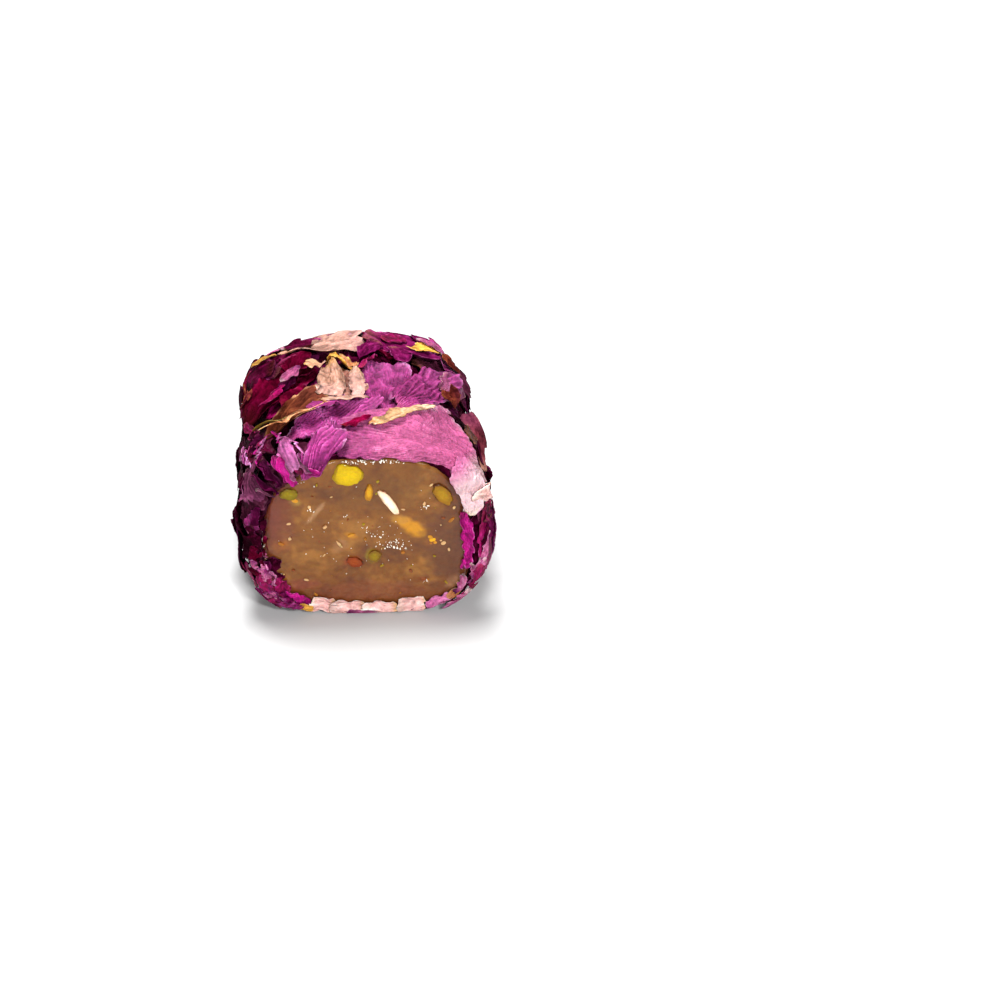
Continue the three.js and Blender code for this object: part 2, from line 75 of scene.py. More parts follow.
def paint(red, green, blue):  # a colour as it looks, 0 to 255, as the shaders' linear light
    shares = [c / 255 for c in (red, green, blue)]
    return np.array([c / 12.92 if c < 0.04045 else ((c + 0.055) / 1.055) ** 2.4 for c in shares])


def blend(a, b, share):
    return a + (b - a) * share


def smooth(low, high, value):
    share = np.clip((value - low) / (high - low), 0, 1)
    return share * share * (3 - 2 * share)


def bell(value):
    return np.exp(-(value**2))


def pressTo(limit, h):  # heights that come near a limit are held under it
    return limit * np.tanh(h / limit)


# Round the block's section, clockwise from the top middle as seen from the front.
def wrapOutline(angle):
    c, s = np.cos(angle), np.sin(angle)
    power = 2 / np.where(s > 0, block["topRoundness"], block["footRoundness"])
    up = block["halfHeight"] * np.sign(s) * np.abs(s) ** power
    across = block["halfWidth"] * np.sign(c) * np.abs(c) ** power
    return np.stack([across * (1 - block["taper"] * up / block["halfHeight"]), block["middle"] + up], -1)


outlineSteps = 1440
outlineTurn = 2 * math.pi / outlineSteps
outlineAngles = math.pi / 2 - outlineTurn * np.arange(outlineSteps + 1)
outline = wrapOutline(outlineAngles)
outlineWay = wrapOutline(outlineAngles - outlineTurn / 2) - wrapOutline(outlineAngles + outlineTurn / 2)
outlineWay /= np.linalg.norm(outlineWay, axis=1, keepdims=True)
outlineDepth = blend(wrap["side"], np.where(np.sin(outlineAngles) > 0, wrap["top"], wrap["foot"]),
                     np.sin(outlineAngles) ** 2)
outlineRun = np.concatenate([[0], np.cumsum(np.linalg.norm(np.diff(outline, axis=0), axis=1))])
perimeter = outlineRun[-1]


def sectionAt(s):  # the jelly's edge, the way out, and the depth of petals there
    run = np.mod(s, perimeter)
    atRun = lambda values: np.interp(run, outlineRun, values)
    out = np.stack([atRun(-outlineWay[:, 1]), atRun(outlineWay[:, 0])], -1)
    edge = np.stack([atRun(outline[:, k]) for k in (0, 1)], -1)
    depth = atRun(outlineDepth)
    return edge - out * depth[..., None], out, depth


def signedRun(s):  # s from the top middle, below 0 on the left
    return np.mod(s + perimeter / 2, perimeter) - perimeter / 2


def settle(x, y, z):  # the hand-cut block isn't quite square
    u = y / block["cutLength"] + 0.5
    across = x * (1 - block["backNarrower"] * u) + block["backShift"] * u
    up = z * (1 - block["backLower"] * u) + block["backLean"] * u * x * z
    gap = wrap["floorGap"]
    up = np.where(up < gap, gap * np.exp((np.minimum(up, gap) - gap) / (wrap["floorEase"] * gap)), up)
    return np.stack(np.broadcast_arrays(across, y, up), -1)


# Petals are heaped fuller over the back left shoulder and the back of the top: s, spread, height, m from
# and to
heaps = [(-14.5, 4.6, 1.4, 13.0, 27.0), (-2.0, 11.0, 0.8, 12.0, 27.0)]
lowCorners = {"at": 35.0, "spread": 5.0, "pressedLeft": 0.2, "pressedRight": 0.45}  # the roll rests on these


def heapedAt(s, m):
    heaped = 0
    for at, spread, tall, low, high in heaps:
        heaped = heaped + tall * bell((signedRun(s) - at) / spread) * smooth(low, high, m)
    return heaped


def surfacePoints(s, m, h):  # s round the section, m back from the front rounding, h out from the base
    edge, out, depth = sectionAt(s)
    over = np.maximum(np.maximum(-m, m - sideLength), 0)
    turn = np.minimum(over / wrap["arc"], 1) * math.pi / 2
    y = -halfLength + depth + np.clip(m, 0, sideLength) * 2 * (halfLength - depth) / sideLength
    run = signedRun(s)
    corner = bell((np.abs(run) - lowCorners["at"]) / lowCorners["spread"])
    h = h * (1 - np.where(run < 0, lowCorners["pressedLeft"], lowCorners["pressedRight"]) * corner)
    outwards = (depth + h + heapedAt(s, m)) * np.cos(turn) - np.maximum(over - wrap["arc"], 0)
    y = y + np.where(m < 0, -1, 1) * (depth + pressTo(wrap["aheadRoom"], h)) * np.sin(turn)
    return settle(edge[..., 0] + out[..., 0] * outwards, y, edge[..., 1] + out[..., 1] * outwards)


jellyBulge = 0.35


def bulge(x, z):  # how far a cut face swells
    across = np.maximum(1 - (x / block["halfWidth"]) ** 2, 0)
    return jellyBulge * across * np.maximum(1 - ((z - block["middle"]) / block["halfHeight"]) ** 2, 0)


# The frame's origin is under the middle of the whole part, so the jelly's solid says where the block is.
jellyRing = sectionAt(np.linspace(0, perimeter, 77))[0]
jellyEnds = [settle(jellyRing[:, 0], y, jellyRing[:, 1]) for y in (-halfLength, halfLength)]
ownLow = np.min([e.min(0) for e in jellyEnds], 0)
cadLow, cadHigh = (np.array(corner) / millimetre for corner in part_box("lokum"))
frameShift = np.array([cadLow[0] - ownLow[0], (cadLow[1] + cadHigh[1]) / 2, 0])
print("block", "perimeter", round(perimeter, 2), "shift", np.round(frameShift, 3))

# Noise and chance are both made from whole numbers of 32 bits.
wordTop = 0xFFFFFFFF
halfWord = 0xFFFF
noiseMix = {"steps": (73856093, 19349663, 83492791), "stir": 1274126177, "seedStep": 13.7, "height": 1.7}
creaseSharpness = 2.4
randomStep = 0x6D2B79F5


def noiseAt(points, size, seed):  # smooth lumps of a size, from about -1 to 1
    scaled = np.asarray(points, float) / size + seed * noiseMix["seedStep"]
    cell = np.floor(scaled).astype(np.int64)
    part = scaled - cell
    fade = part**3 * (part * (part * 6 - 15) + 10)
    total = np.zeros(scaled.shape[:-1])
    for corner in itertools.product((0, 1), repeat=3):
        at = (cell + np.array(corner)) * np.array(noiseMix["steps"])
        mixed = at[..., 0] ^ at[..., 1] ^ at[..., 2]
        mixed = ((mixed ^ (mixed >> 13)) * noiseMix["stir"]) & wordTop
        mixed = mixed ^ (mixed >> 16)
        turn = (mixed & halfWord) * (2 * math.pi / (halfWord + 1))
        tall = ((mixed >> 8) & halfWord) * 2 / (halfWord + 1) - 1
        flat = np.sqrt(1 - tall**2)
        away = part - corner
        slope = away[..., 0] * flat * np.cos(turn) + away[..., 1] * flat * np.sin(turn) + away[..., 2] * tall
        total += slope * np.prod(np.where(np.array(corner), fade, 1 - fade), axis=-1)
    return total * noiseMix["height"]


def layered(points, layers):  # noise of several sizes: size, share, seed
    return sum(share * noiseAt(points, size, seed) for size, share, seed in layers)


def unevenAt(points, mean, share, size, seed, least, most):
    return np.clip(mean + share * noiseAt(points, size, seed), least, most)


def creasesAt(points, size, seed):  # sharp crests, from 0 to 1
    return 1 - np.minimum(np.abs(noiseAt(points, size, seed)) * creaseSharpness, 1)


def makeRandom(seed):
    state = seed

    def draw():
        nonlocal state
        state = (state + randomStep) & wordTop
        t = ((state ^ (state >> 15)) * (1 | state)) & wordTop
        t = ((t + (((t ^ (t >> 7)) * (61 | t)) & wordTop)) & wordTop) ^ t
        return ((t ^ (t >> 14)) & wordTop) / (wordTop + 1)

    return draw


# Petals are laid one on another with the help of a map of heights over the wrap's base.
mapCell = 0.25
mapEdge = wrap["arc"] + 4
mapShape = (round(perimeter / mapCell), round((sideLength + 2 * mapEdge) / mapCell) + 1)
mapLastRow = mapShape[1] - 1.001  # just inside, so that every place has a next row
heights = np.zeros(mapShape)


def mapPlace(s, m):
    return np.mod(s, perimeter) / perimeter * mapShape[0], np.clip((m + mapEdge) / mapCell, 0, mapLastRow)


def heightAt(field, s, m):
    i, j = mapPlace(s, m)
    i0, j0 = np.floor(i).astype(int) % mapShape[0], np.floor(j).astype(int)
    i1 = (i0 + 1) % mapShape[0]
    a, b = i - np.floor(i), j - j0
    near = blend(field[i0, j0], field[i0, j0 + 1], b)
    return blend(near, blend(field[i1, j0], field[i1, j0 + 1], b), a)


def raiseMap(field, s, m, h):
    i, j = mapPlace(s, m)
    np.maximum.at(field, (np.round(i).astype(int) % mapShape[0], np.round(j).astype(int)), h)


def bridged(field, reach):  # what a petal that is stiff over a reach lies on
    cells = round(reach / mapCell)
    steps = range(-cells, cells + 1)
    padded = lambda f: np.pad(f, ((0, 0), (cells, cells)), mode="edge")
    along = lambda f, k: padded(f)[:, cells + k : cells + k + mapShape[1]]
    peaks = np.max([np.roll(field, k, 0) for k in steps], 0)
    peaks = np.max([along(peaks, k) for k in steps], 0)
    weights = [(cells + 1 - abs(k)) / (cells + 1) ** 2 for k in steps]
    soft = sum(w * np.roll(peaks, k, 0) for k, w in zip(steps, weights))
    return sum(w * along(soft, k) for k, w in zip(steps, weights))


petalForm = {
    "notchWidth": 0.4,
    "ragged": ((3, 1), (5, 2)),  # waves of the edge: how many and how they shift
    "raggedBy": 0.05,
    "frills": 3,
    "tornRim": ((0.35, 1, 3), (0.13, 0.8, 5)),  # size, share, seed
    "tornStrip": ((1.6, 1, 3), (0.6, 0.6, 5)),
    "stripTorn": 3,  # how much more a strip's sides are torn
    "bluntness": 3.5,  # of a strip's ends
    "rollFrom": 0.8,  # share of the way out where the rim starts to roll up
    "rollMost": 2.0,
    "clawReach": 0.68,  # where the pleats meet behind the middle, in lengths
    "pleatsFrom": (-0.95, -0.5),  # along the petal
    "pleatsShadedTo": 0.65,
    "creases": (  # size, share, how far they bend, seed
        (1, 0.46, 0.8, 4), (0.5, 0.28, 0.5, 6), (0.26, 0.16, 0.3, 7), (0.14, 0.1, 0.2, 10),
    ),
    "creaseCrest": 1.3,
    "lumps": (3.2, 0.5, 12),
    "rollUneven": (0.4, 1.1, 0.9, 8, 0, 1.3),  # mean, share, size, seed, least, most
    "pleatsUneven": (0.6, 0.9, 2.4, 11, 0.1, 1.4),
    "ruffleUneven": (0.75, 1.1, 2.2, 19, 0.15, 1.6),
    "pleatSharpness": 0.7,
    "pleatsWander": (1.0, 0.9, 9),
    "foldWander": (3.0, 0.5, 17),
    "foldUneven": (0.8, 0.3, 2.0, 18, 0, 2),
    "foldShades": (0.75, 0.3),  # how much of the creases stays, and how much painted highlight the fold gets
    "ruffleWander": (3, 2.4, 14),
}
plainPetal = {
    "strip": False,  # a strip is long with blunt ends, and may stand up on one edge
    "stand": 0,  # degrees
    "rooted": 0,  # how deep the lower edge of a standing petal is sunk
    "ruffle": 0,
    "ruffles": 3,
    "curl": 6,  # of the long edges, in degrees
    "lift": 0.2,  # of the side that liftTo names, in degrees from the tip
    "liftTo": 0,
    "wave": 0.2,
    "crumple": 0.42,  # height of the creases
    "creaseSize": 2.4,
    "creaseStretch": 1.9,  # how much longer creases run towards the tip
    "valley": 0.6,  # how much painted shade darkens the folds
    "pleats": 0,  # ridges that fan out from the claw
    "pleatDepth": 0.3,
    "veined": 0,  # how much the painted crest highlight and fold shade follow the pleats, beyond what their depth gives
    "folds": (),  # deep lengthwise folds: offset across, height, width
    "lobe": None,  # a broader part of one side: where along, how long, how much broader
    "torn": 0.07,  # fine raggedness of the edge
    "tipBroader": 0.22,
    "notchDepth": 0.1,
    "roll": 0.5,  # how far the rim rolls up
    "rollRadius": 0.8,
    "overCut": 0,  # how much further it laps over a cut
    "cells": (48, 36),
}
# The knife ends every petal at the cut. Along the top middle the jelly's edge is left bare.
cutLip = {"from": 2.5, "room": 1.0, "uneven": 0.8, "unevenSize": 1.3, "bareFrom": -7.5, "bareTo": 12.5,
          "bareEase": 3, "bareBack": 2.6}


def trimAtCut(s, m, seed, further=0):
    lip, run = cutLip, signedRun(s)
    bare = smooth(lip["bareFrom"], lip["bareFrom"] + lip["bareEase"], run)
    bare = bare * smooth(lip["bareTo"], lip["bareTo"] - lip["bareEase"], run)
    begin = lip["from"] + further - lip["bareBack"] * np.where(m < 0, bare, 0)
    along = np.stack([s, 0 * s, 0 * s + seed], -1)
    room = lip["room"] + lip["uneven"] * noiseAt(along, lip["unevenSize"], 15)
    past = np.maximum(-m, m - sideLength) - begin
    held = begin + pressTo(room, np.maximum(past, 0))
    return np.where(past > 0, np.where(m < 0, -held, sideLength + held), m)


def stripOutline(petal, u, v, phase):
    form = petalForm
    edgeWay = np.stack([u * petal["length"] / 2, np.sign(v) * 2.0, np.full_like(u, phase)], -1)
    torn = 1 + form["stripTorn"] * petal["torn"] * layered(edgeWay, form["tornStrip"])
    blunt = np.sqrt(np.clip(1 - np.abs(u) ** form["bluntness"], 0.0, 1)) * torn
    rho = np.maximum(np.abs(u), np.abs(v))
    return u, v, rho, np.arctan2(v, u), edgeWay, petal["length"] / 2 * u, petal["width"] / 2 * v * blunt


def petalOutline(petal, u, v, phase):
    form = petalForm
    x, y = u * np.sqrt(1 - v * v / 2), v * np.sqrt(1 - u * u / 2)
    rho, angle = np.hypot(x, y), np.arctan2(y, x)
    edgeWay = np.stack([np.cos(angle), np.sin(angle), np.full_like(angle, phase)], -1)
    waves = sum(np.sin(count * angle + shift * phase) for count, shift in form["ragged"])
    ragged = 1 + form["raggedBy"] * rho * waves
    ragged = ragged + petal["torn"] * smooth(0.5, 1, rho) * layered(edgeWay, form["tornRim"])
    notch = 1 - petal["notchDepth"] * rho * bell(angle / form["notchWidth"])
    broad = 1 - petal["tipBroader"] / 2 + petal["tipBroader"] * np.cos(angle)
    lengthwise = petal["length"] / 2 * rho * np.cos(angle) * ragged * notch
    sideways = petal["width"] / 2 * rho * np.sin(angle) * ragged * broad
    if petal["lobe"]:
        at, reach, more = petal["lobe"]
        sideways = sideways * (1 + more * bell((x - at) / reach) * smooth(-0.2, 0.6, y))
    return x, y, rho, angle, edgeWay, lengthwise, sideways


def rollRim(petal, rho, angle, edgeWay):  # the rim rolls up, more in some places than in others
    start, radius = petalForm["rollFrom"], petal["rollRadius"]
    size = np.hypot(petal["length"] / 2 * np.cos(angle), petal["width"] / 2 * np.sin(angle))
    size = np.maximum(size, 0.5)
    rollUp = petal["roll"] * unevenAt(edgeWay, *petalForm["rollUneven"])
    past = np.maximum(rho - start, 0) * size
    bend = np.minimum(past / radius, petalForm["rollMost"]) * rollUp
    reached = start * size + radius * np.sin(bend) / np.maximum(rollUp, 0.05)
    kept = np.where(past > 0, reached / (rho * size + 1e-9), 1)
    return np.clip(kept, 0.5, 1), radius * (1 - np.cos(bend))


def creaseRelief(petal, flat):  # creases run mostly lengthwise
    drawn = flat / [petal["creaseStretch"], 1, 1]
    warp = np.stack([noiseAt(flat, 2.0, 1), noiseAt(flat, 2.0, 2), np.zeros(flat.shape[:-1])], -1)
    ridge = 0
    for finer, share, bend, seed in petalForm["creases"]:
        crests = creasesAt(drawn + bend * warp, petal["creaseSize"] * finer, seed)
        ridge = ridge + share * crests ** petalForm["creaseCrest"]
    return petal["crumple"] * (ridge + layered(flat, [petalForm["lumps"]])), ridge


def addPleats(sheet, lumps, ridge):  # ridges that fan out from the claw
    form, petal, flat, x = petalForm, sheet["petal"], sheet["flat"], sheet["x"]
    claw = form["clawReach"] * petal["length"]
    spread = math.atan2(petal["width"] / 2, claw)
    fan = sheet["fanAngle"]
    place = np.stack([fan * 6, sheet["reach"] * 0.3, np.full_like(x, sheet["phase"])], -1)
    count = fan / spread * petal["pleats"] / 2 + layered(place, [form["pleatsWander"]])
    pleat = 1 - np.abs(np.sin(math.pi * count)) ** form["pleatSharpness"]
    uneven = unevenAt(flat, *form["pleatsUneven"])
    lumps = lumps + petal["pleatDepth"] * smooth(*form["pleatsFrom"], x) * pleat * uneven
    share = max(min(petal["pleatDepth"], form["pleatsShadedTo"]), petal["veined"])
    return lumps, (1 - share) * ridge + share * pleat * uneven


def addFold(sheet, lumps, ridge, offset, tall, wide):
    form, along = petalForm, sheet["lengthwise"]
    place = np.stack([along, 0 * along, 0 * along + sheet["phase"]], -1)
    wander = offset + layered(place, [form["foldWander"]])
    fold = bell((sheet["sideways"] - wander) / wide) * unevenAt(sheet["flat"], *form["foldUneven"])
    left, light = form["foldShades"]
    return lumps + tall * fold, left * ridge + light * fold


def petalSheet(own, phase):
    petal = {**plainPetal, **own}
    rows, columns = petal["cells"]
    u, v = np.meshgrid(np.linspace(-1, 1, rows + 1), np.linspace(-1, 1, columns + 1), indexing="ij")
    outlineOf = stripOutline if petal["strip"] else petalOutline
    x, y, rho, angle, edgeWay, lengthwise, sideways = outlineOf(petal, u, v, phase)
    kept, rolled = rollRim(petal, rho, angle, edgeWay)
    lengthwise, sideways = lengthwise * kept, sideways * kept
    flat = np.stack([lengthwise, sideways, np.full_like(x, 10 * phase)], -1)
    claw = petalForm["clawReach"] * petal["length"]
    fan, reach = np.arctan2(sideways, lengthwise + claw), np.hypot(sideways, lengthwise + claw)
    sheet = {
        "petal": petal, "phase": phase, "x": x, "y": y, "rho": rho, "edgeWay": edgeWay, "flat": flat,
        "lengthwise": lengthwise, "sideways": sideways, "fanAngle": fan, "fan": fan * claw, "reach": reach,
    }
    lumps, ridge = creaseRelief(petal, flat)
    if petal["pleats"]:
        lumps, ridge = addPleats(sheet, lumps, ridge)
    for fold in petal["folds"]:
        lumps, ridge = addFold(sheet, lumps, ridge, *fold)
    # curl, lift and waves, then the whole petal stands up on its lower edge
    bendRadius = petal["width"] / 2 / max(math.radians(petal["curl"]), 0.01)
    curled = bendRadius * (1 - np.cos(sideways / bendRadius))
    raised = petal["lift"] * rho**2 * (0.5 + 0.5 * np.cos(angle - math.radians(petal["liftTo"])))
    waved = petal["wave"] * rho**3 * (0.5 + 0.5 * np.sin(petalForm["frills"] * angle + 3 * phase))
    up = curled + raised + waved + rolled + lumps
    across = bendRadius * np.sin(sideways / bendRadius)
    stand = math.radians(petal["stand"])
    if stand:
        uneven = petal["ruffle"] * unevenAt(flat, *petalForm["ruffleUneven"])
        wander = phase + layered(flat, [petalForm["ruffleWander"]])
        swing = np.sin(petal["ruffles"] * math.pi * u + wander)
        tall = sideways + petal["width"] / 2 - petal["rooted"]
        up = uneven * (0.5 + 0.5 * v) * swing + up
        across = tall * math.cos(stand) - up * math.sin(stand)
        up = tall * math.sin(stand) + up * math.cos(stand)
    turn = math.radians(petal["turn"])
    s = petal["s"] + lengthwise * math.sin(turn) + across * math.cos(turn)
    m = petal["m"] + lengthwise * math.cos(turn) - across * math.sin(turn)
    return {**sheet, "s": s, "m": trimAtCut(s, m, phase, petal["overCut"]), "h": up, "ridge": ridge}


def layPetal(field, own, phase, lay):
    sheet = petalSheet(own, phase)
    base = heightAt(bridged(field, lay["reach"]), sheet["s"], sheet["m"])
    if sheet["petal"]["rooted"]:
        base = base.min() + 0 * base
    sheet["h"] = sheet["h"] + base + lay["gap"] + lay["thick"] / 2
    raiseMap(field, sheet["s"], sheet["m"], sheet["h"] + lay["thick"] / 2)
    sheet["thick"] = lay["thick"]
    return sheet


# Each kind of petal is coloured at the claw, over its body, at the tip, on its crests as a painted highlight,
# and at its rim.
petalColours = {
    "maroon": ((84, 30, 26), (84, 8, 42), (70, 4, 34), (126, 22, 78), (150, 52, 104)),
    "plum": ((150, 80, 80), (118, 18, 76), (112, 14, 74), (168, 52, 126), (196, 92, 156)),
    "magenta": ((190, 50, 90), (150, 4, 78), (140, 2, 72), (214, 32, 138), (232, 98, 172)),
    "crimson": ((150, 40, 50), (126, 4, 48), (110, 2, 42), (172, 16, 82), (210, 74, 130)),
    "orchid": ((186, 70, 110), (162, 38, 116), (168, 50, 128), (224, 100, 186), (236, 138, 202)),
    "pink": ((250, 214, 210), (212, 100, 154), (152, 42, 116), (244, 164, 204), (250, 184, 212)),
    "cream": ((220, 156, 70), (196, 146, 112), (208, 156, 138), (228, 180, 156), (238, 190, 174)),
    "oldCream": ((196, 138, 70), (168, 122, 102), (188, 140, 128), (224, 188, 172), (232, 196, 180)),
    "hollowCream": ((190, 124, 60), (146, 90, 76), (176, 118, 104), (206, 150, 128), (226, 176, 156)),
    "peach": ((190, 136, 100), (184, 136, 120), (180, 128, 122), (208, 166, 154), (206, 160, 148)),
    "blush": ((250, 190, 130), (255, 192, 186), (255, 210, 198), (255, 246, 240), (255, 246, 240)),
    "tan": ((120, 92, 26), (98, 44, 28), (108, 52, 40), (152, 84, 54), (228, 166, 120)),
    "olive": ((150, 124, 30), (148, 118, 34), (170, 120, 60), (216, 190, 90), (232, 206, 120)),
    "apricot": ((180, 130, 60), (214, 134, 84), (226, 150, 104), (246, 190, 140), (250, 206, 164)),
    "claw": ((250, 228, 200), (248, 206, 212), (230, 116, 174), (255, 238, 236), (238, 140, 188)),
    "rosy": ((236, 150, 190), (232, 126, 182), (226, 114, 176), (248, 162, 208), (252, 190, 220)),
    "lilac": ((210, 90, 160), (250, 126, 206), (250, 146, 214), (254, 166, 222), (254, 190, 230)),
    "violet": ((200, 84, 130), (184, 62, 138), (190, 76, 150), (230, 114, 190), (238, 144, 206)),
    "lavender": ((200, 74, 144), (196, 62, 150), (210, 82, 164), (252, 134, 216), (250, 164, 220)),
    "cerise": ((170, 10, 80), (176, 0, 92), (178, 0, 98), (206, 16, 118), (226, 70, 150)),
    "shell": ((206, 156, 124), (196, 146, 132), (206, 154, 144), (228, 184, 170), (236, 194, 182)),
    "vivid": ((180, 20, 110), (200, 16, 136), (202, 26, 140), (220, 52, 162), (238, 120, 192)),
    "strip": ((206, 136, 70), (222, 168, 118), (238, 194, 162), (250, 218, 188), (176, 96, 60)),
    "straw": ((200, 136, 46), (222, 160, 62), (210, 146, 60), (250, 204, 116), (246, 204, 130)),
    "mauve": ((150, 80, 90), (132, 60, 96), (140, 66, 106), (174, 100, 138), (204, 152, 158)),
    "dusty": ((120, 66, 50), (112, 42, 72), (108, 40, 68), (150, 74, 108), (166, 92, 124)),
    "faded": ((166, 116, 100), (108, 42, 52), (112, 46, 70), (136, 70, 82), (164, 98, 104)),
    "brown": ((130, 70, 40), (104, 36, 30), (110, 40, 44), (176, 88, 58), (196, 112, 76)),
}
petalTint = {
    "cloudSize": 3.5,
    "cloudy": 0.22,
    "patchSize": 1.1,
    "patchy": 0.12,
    "uneven": 0.18,
    "bodyFrom": (-1, -0.5),  # along the petal
    "tipFrom": (0.1, 0.9),
    # painted highlight on the crests
    "crestHighlightFrom": (0.45, 0.95),
    "crestHighlightStrength": 0.8,
    "rimFrom": (0.9, 1.0),
    "wornAt": (-0.1, 0.5),
    "foldsTo": (0.05, 0.5),
    "wornSize": 0.5,
    "wander": {"body": 0.15, "tip": 0.2, "rim": 0.04, "worn": 0.3},
    "turn": 7.3,  # from one petal's brightness to the next
    "onEdge": 45,  # strips that stand steeper than this get painted shade towards their roots
    "rootShades": (0.3, 1.1),
    "rootsTo": (-0.9, 0.7),
}


def tintPetal(sheet, kind):
    tint, petal, ridge, wander = petalTint, sheet["petal"], sheet["ridge"], petalTint["wander"]
    claw, body, tip, crestHighlight, rim = (paint(*value) for value in petalColours[kind])
    cloud = noiseAt(sheet["flat"], tint["cloudSize"], 21)
    patch = noiseAt(sheet["flat"], tint["patchSize"], 22)
    worn = smooth(*tint["wornAt"], noiseAt(sheet["edgeWay"], tint["wornSize"], 23) + wander["worn"] * patch)
    colour = claw
    for layer, share in (
        (body, smooth(*tint["bodyFrom"], sheet["x"] + wander["body"] * cloud)),
        (tip, smooth(*tint["tipFrom"], sheet["x"] + wander["tip"] * cloud)),
        (crestHighlight, tint["crestHighlightStrength"] * smooth(*tint["crestHighlightFrom"], ridge)),
        (rim, worn * smooth(*tint["rimFrom"], sheet["rho"] + wander["rim"] * patch)),
    ):
        colour = blend(colour, layer, share[..., None])
    # painted shade in the folds
    shade = 1 - petal["valley"] * (1 - smooth(*tint["foldsTo"], ridge))
    # painted shade at the roots of strips that stand on edge
    if petal["strip"] and petal["stand"] > tint["onEdge"]:
        shade = shade * blend(*tint["rootShades"], smooth(*tint["rootsTo"], sheet["y"]))
    # each petal's own tone, which differs at random, joins the painted shade
    shade = (1 + tint["uneven"] * math.sin(tint["turn"] * sheet["phase"])) * shade
    return np.clip(colour * (shade * (1 + tint["cloudy"] * cloud + tint["patchy"] * patch))[..., None], 0, 1)


# Hollows between the petals, where shade is painted into the dark ones underneath and into the bed: s, m,
# spreads and how much is kept
paintedShadeHollows = [
    (14.8, 10.6, 3.4, 6.5, 0.06), (-18.6, 17.5, 3.6, 9.0, 0.2), (-14.2, 12.5, 3.4, 4.2, 0.2),
    (-14.0, 3.0, 5.0, 7.0, 0.3), (-26.0, 2.0, 8.0, 9.0, 0.36), (-8.0, 20.0, 5.0, 4.0, 0.5),
    (-26.0, 16.0, 9.0, 12.0, 0.6),
]
shadedKinds = ("maroon", "plum", "dusty", "crimson")
pressedTop = {"from": 29.2, "room": 1.3}  # petals higher than this are pressed down
petalBody = {"thinFrom": 0.9, "thinner": 0.6, "underside": 0.85}  # the underside is darker


# how much colour is kept where shade is painted into the hollows
def keptLight(s, m):
    kept = 1.0
    for at, back, wide, deep, share in paintedShadeHollows:
        kept = kept * (1 - (1 - share) * bell((signedRun(s) - at) / wide) * bell((m - back) / deep))
    return kept


def shell(sheet, kind):  # a thin closed solid from a sheet, thinner at its edge
    points = surfacePoints(sheet["s"], sheet["m"], sheet["h"])
    normal = np.cross(np.gradient(points, axis=0), np.gradient(points, axis=1))
    normal /= np.maximum(np.linalg.norm(normal, axis=-1, keepdims=True), 1e-9)
    outer = surfacePoints(sheet["s"], sheet["m"], sheet["h"] + 0.3) - points
    normal *= np.sign((normal * outer).sum(-1).mean()) or 1
    high, top = points[..., 2], pressedTop["from"]
    points[..., 2] = np.where(high > top, top + pressTo(pressedTop["room"], high - top), high)
    thinned = 1 - petalBody["thinner"] * smooth(petalBody["thinFrom"], 1, sheet["rho"])
    half = sheet["thick"] / 2 * thinned[..., None]
    rows, columns = points.shape[:2]
    count = rows * columns
    index = np.arange(count).reshape(rows, columns)
    face = np.stack([index[:-1, :-1], index[:-1, 1:], index[1:, 1:], index[1:, :-1]], -1).reshape(-1, 4)
    border = np.concatenate([index[0, :-1], index[:-1, -1], index[-1, :0:-1], index[:0:-1, 0]])
    after = np.roll(border, -1)
    rim = np.stack([border, border + count, after + count, after], -1)
    if np.cross(points[0, 1] - points[0, 0], points[1, 1] - points[0, 0]) @ normal[0, 0] < 0:
        face, rim = face[:, ::-1], rim[:, ::-1]
    colour = tintPetal(sheet, kind)
    # painted shade in the hollows between petals
    if kind in shadedKinds:
        colour = colour * keptLight(sheet["s"], sheet["m"])[..., None]
    place = np.stack([sheet["fan"] + 9 * sheet["phase"], sheet["reach"] * 0.3, 0 * sheet["x"]], -1)
    flatten = lambda a: a.reshape(count, -1)
    return {
        "points": np.concatenate([flatten(points + normal * half), flatten(points - normal * half)]),
        "faces": np.concatenate([face, face[:, ::-1] + count, rim]),
        "colour": np.concatenate([flatten(colour), flatten(colour * petalBody["underside"])]),
        "place": np.concatenate([flatten(place)] * 2),
    }


def buildMesh(name, parts, material, replaced):
    joined = lambda key: np.concatenate([p[key] for p in parts])
    packed = lambda values: values.astype(np.float32).ravel()
    offsets = np.cumsum([0] + [len(p["points"]) for p in parts])
    points = (joined("points") + frameShift) * millimetre
    faces = np.concatenate([p["faces"] + o for p, o in zip(parts, offsets)])
    mesh = bpy.data.meshes.new(name)
    mesh.vertices.add(len(points))
    mesh.vertices.foreach_set("co", packed(points))
    mesh.loops.add(faces.size)
    mesh.loops.foreach_set("vertex_index", faces.astype(np.int32).ravel())
    mesh.polygons.add(len(faces))
    mesh.polygons.foreach_set("loop_start", np.arange(0, faces.size, faces.shape[1], dtype=np.int32))
    mesh.update(calc_edges=True)
    mesh.validate()
    mesh.shade_smooth()
    colour = np.concatenate([joined("colour"), np.ones((len(points), 1))], 1)
    layer = mesh.color_attributes.new("tint", "FLOAT_COLOR", "POINT")
    layer.data.foreach_set("color", packed(colour))
    if "place" in parts[0]:
        spot = mesh.attributes.new("place", "FLOAT_VECTOR", "POINT")
        spot.data.foreach_set("vector", packed(joined("place")))
    mesh.materials.append(material)
    piece = bpy.data.objects.new(name, mesh)
    bpy.context.scene.collection.objects.link(piece)
    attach(piece, "root")
    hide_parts(*replaced)


# Shader groups
def newGroup(name, inputs, outputs):
    tree = bpy.data.node_groups.new(name, "ShaderNodeTree")
    for direction, sockets in (("INPUT", inputs), ("OUTPUT", outputs)):
        for label, kind in sockets:
            tree.interface.new_socket(label, in_out=direction, socket_type="NodeSocket" + kind)
    return tree, tree.nodes.new("NodeGroupInput"), tree.nodes.new("NodeGroupOutput")


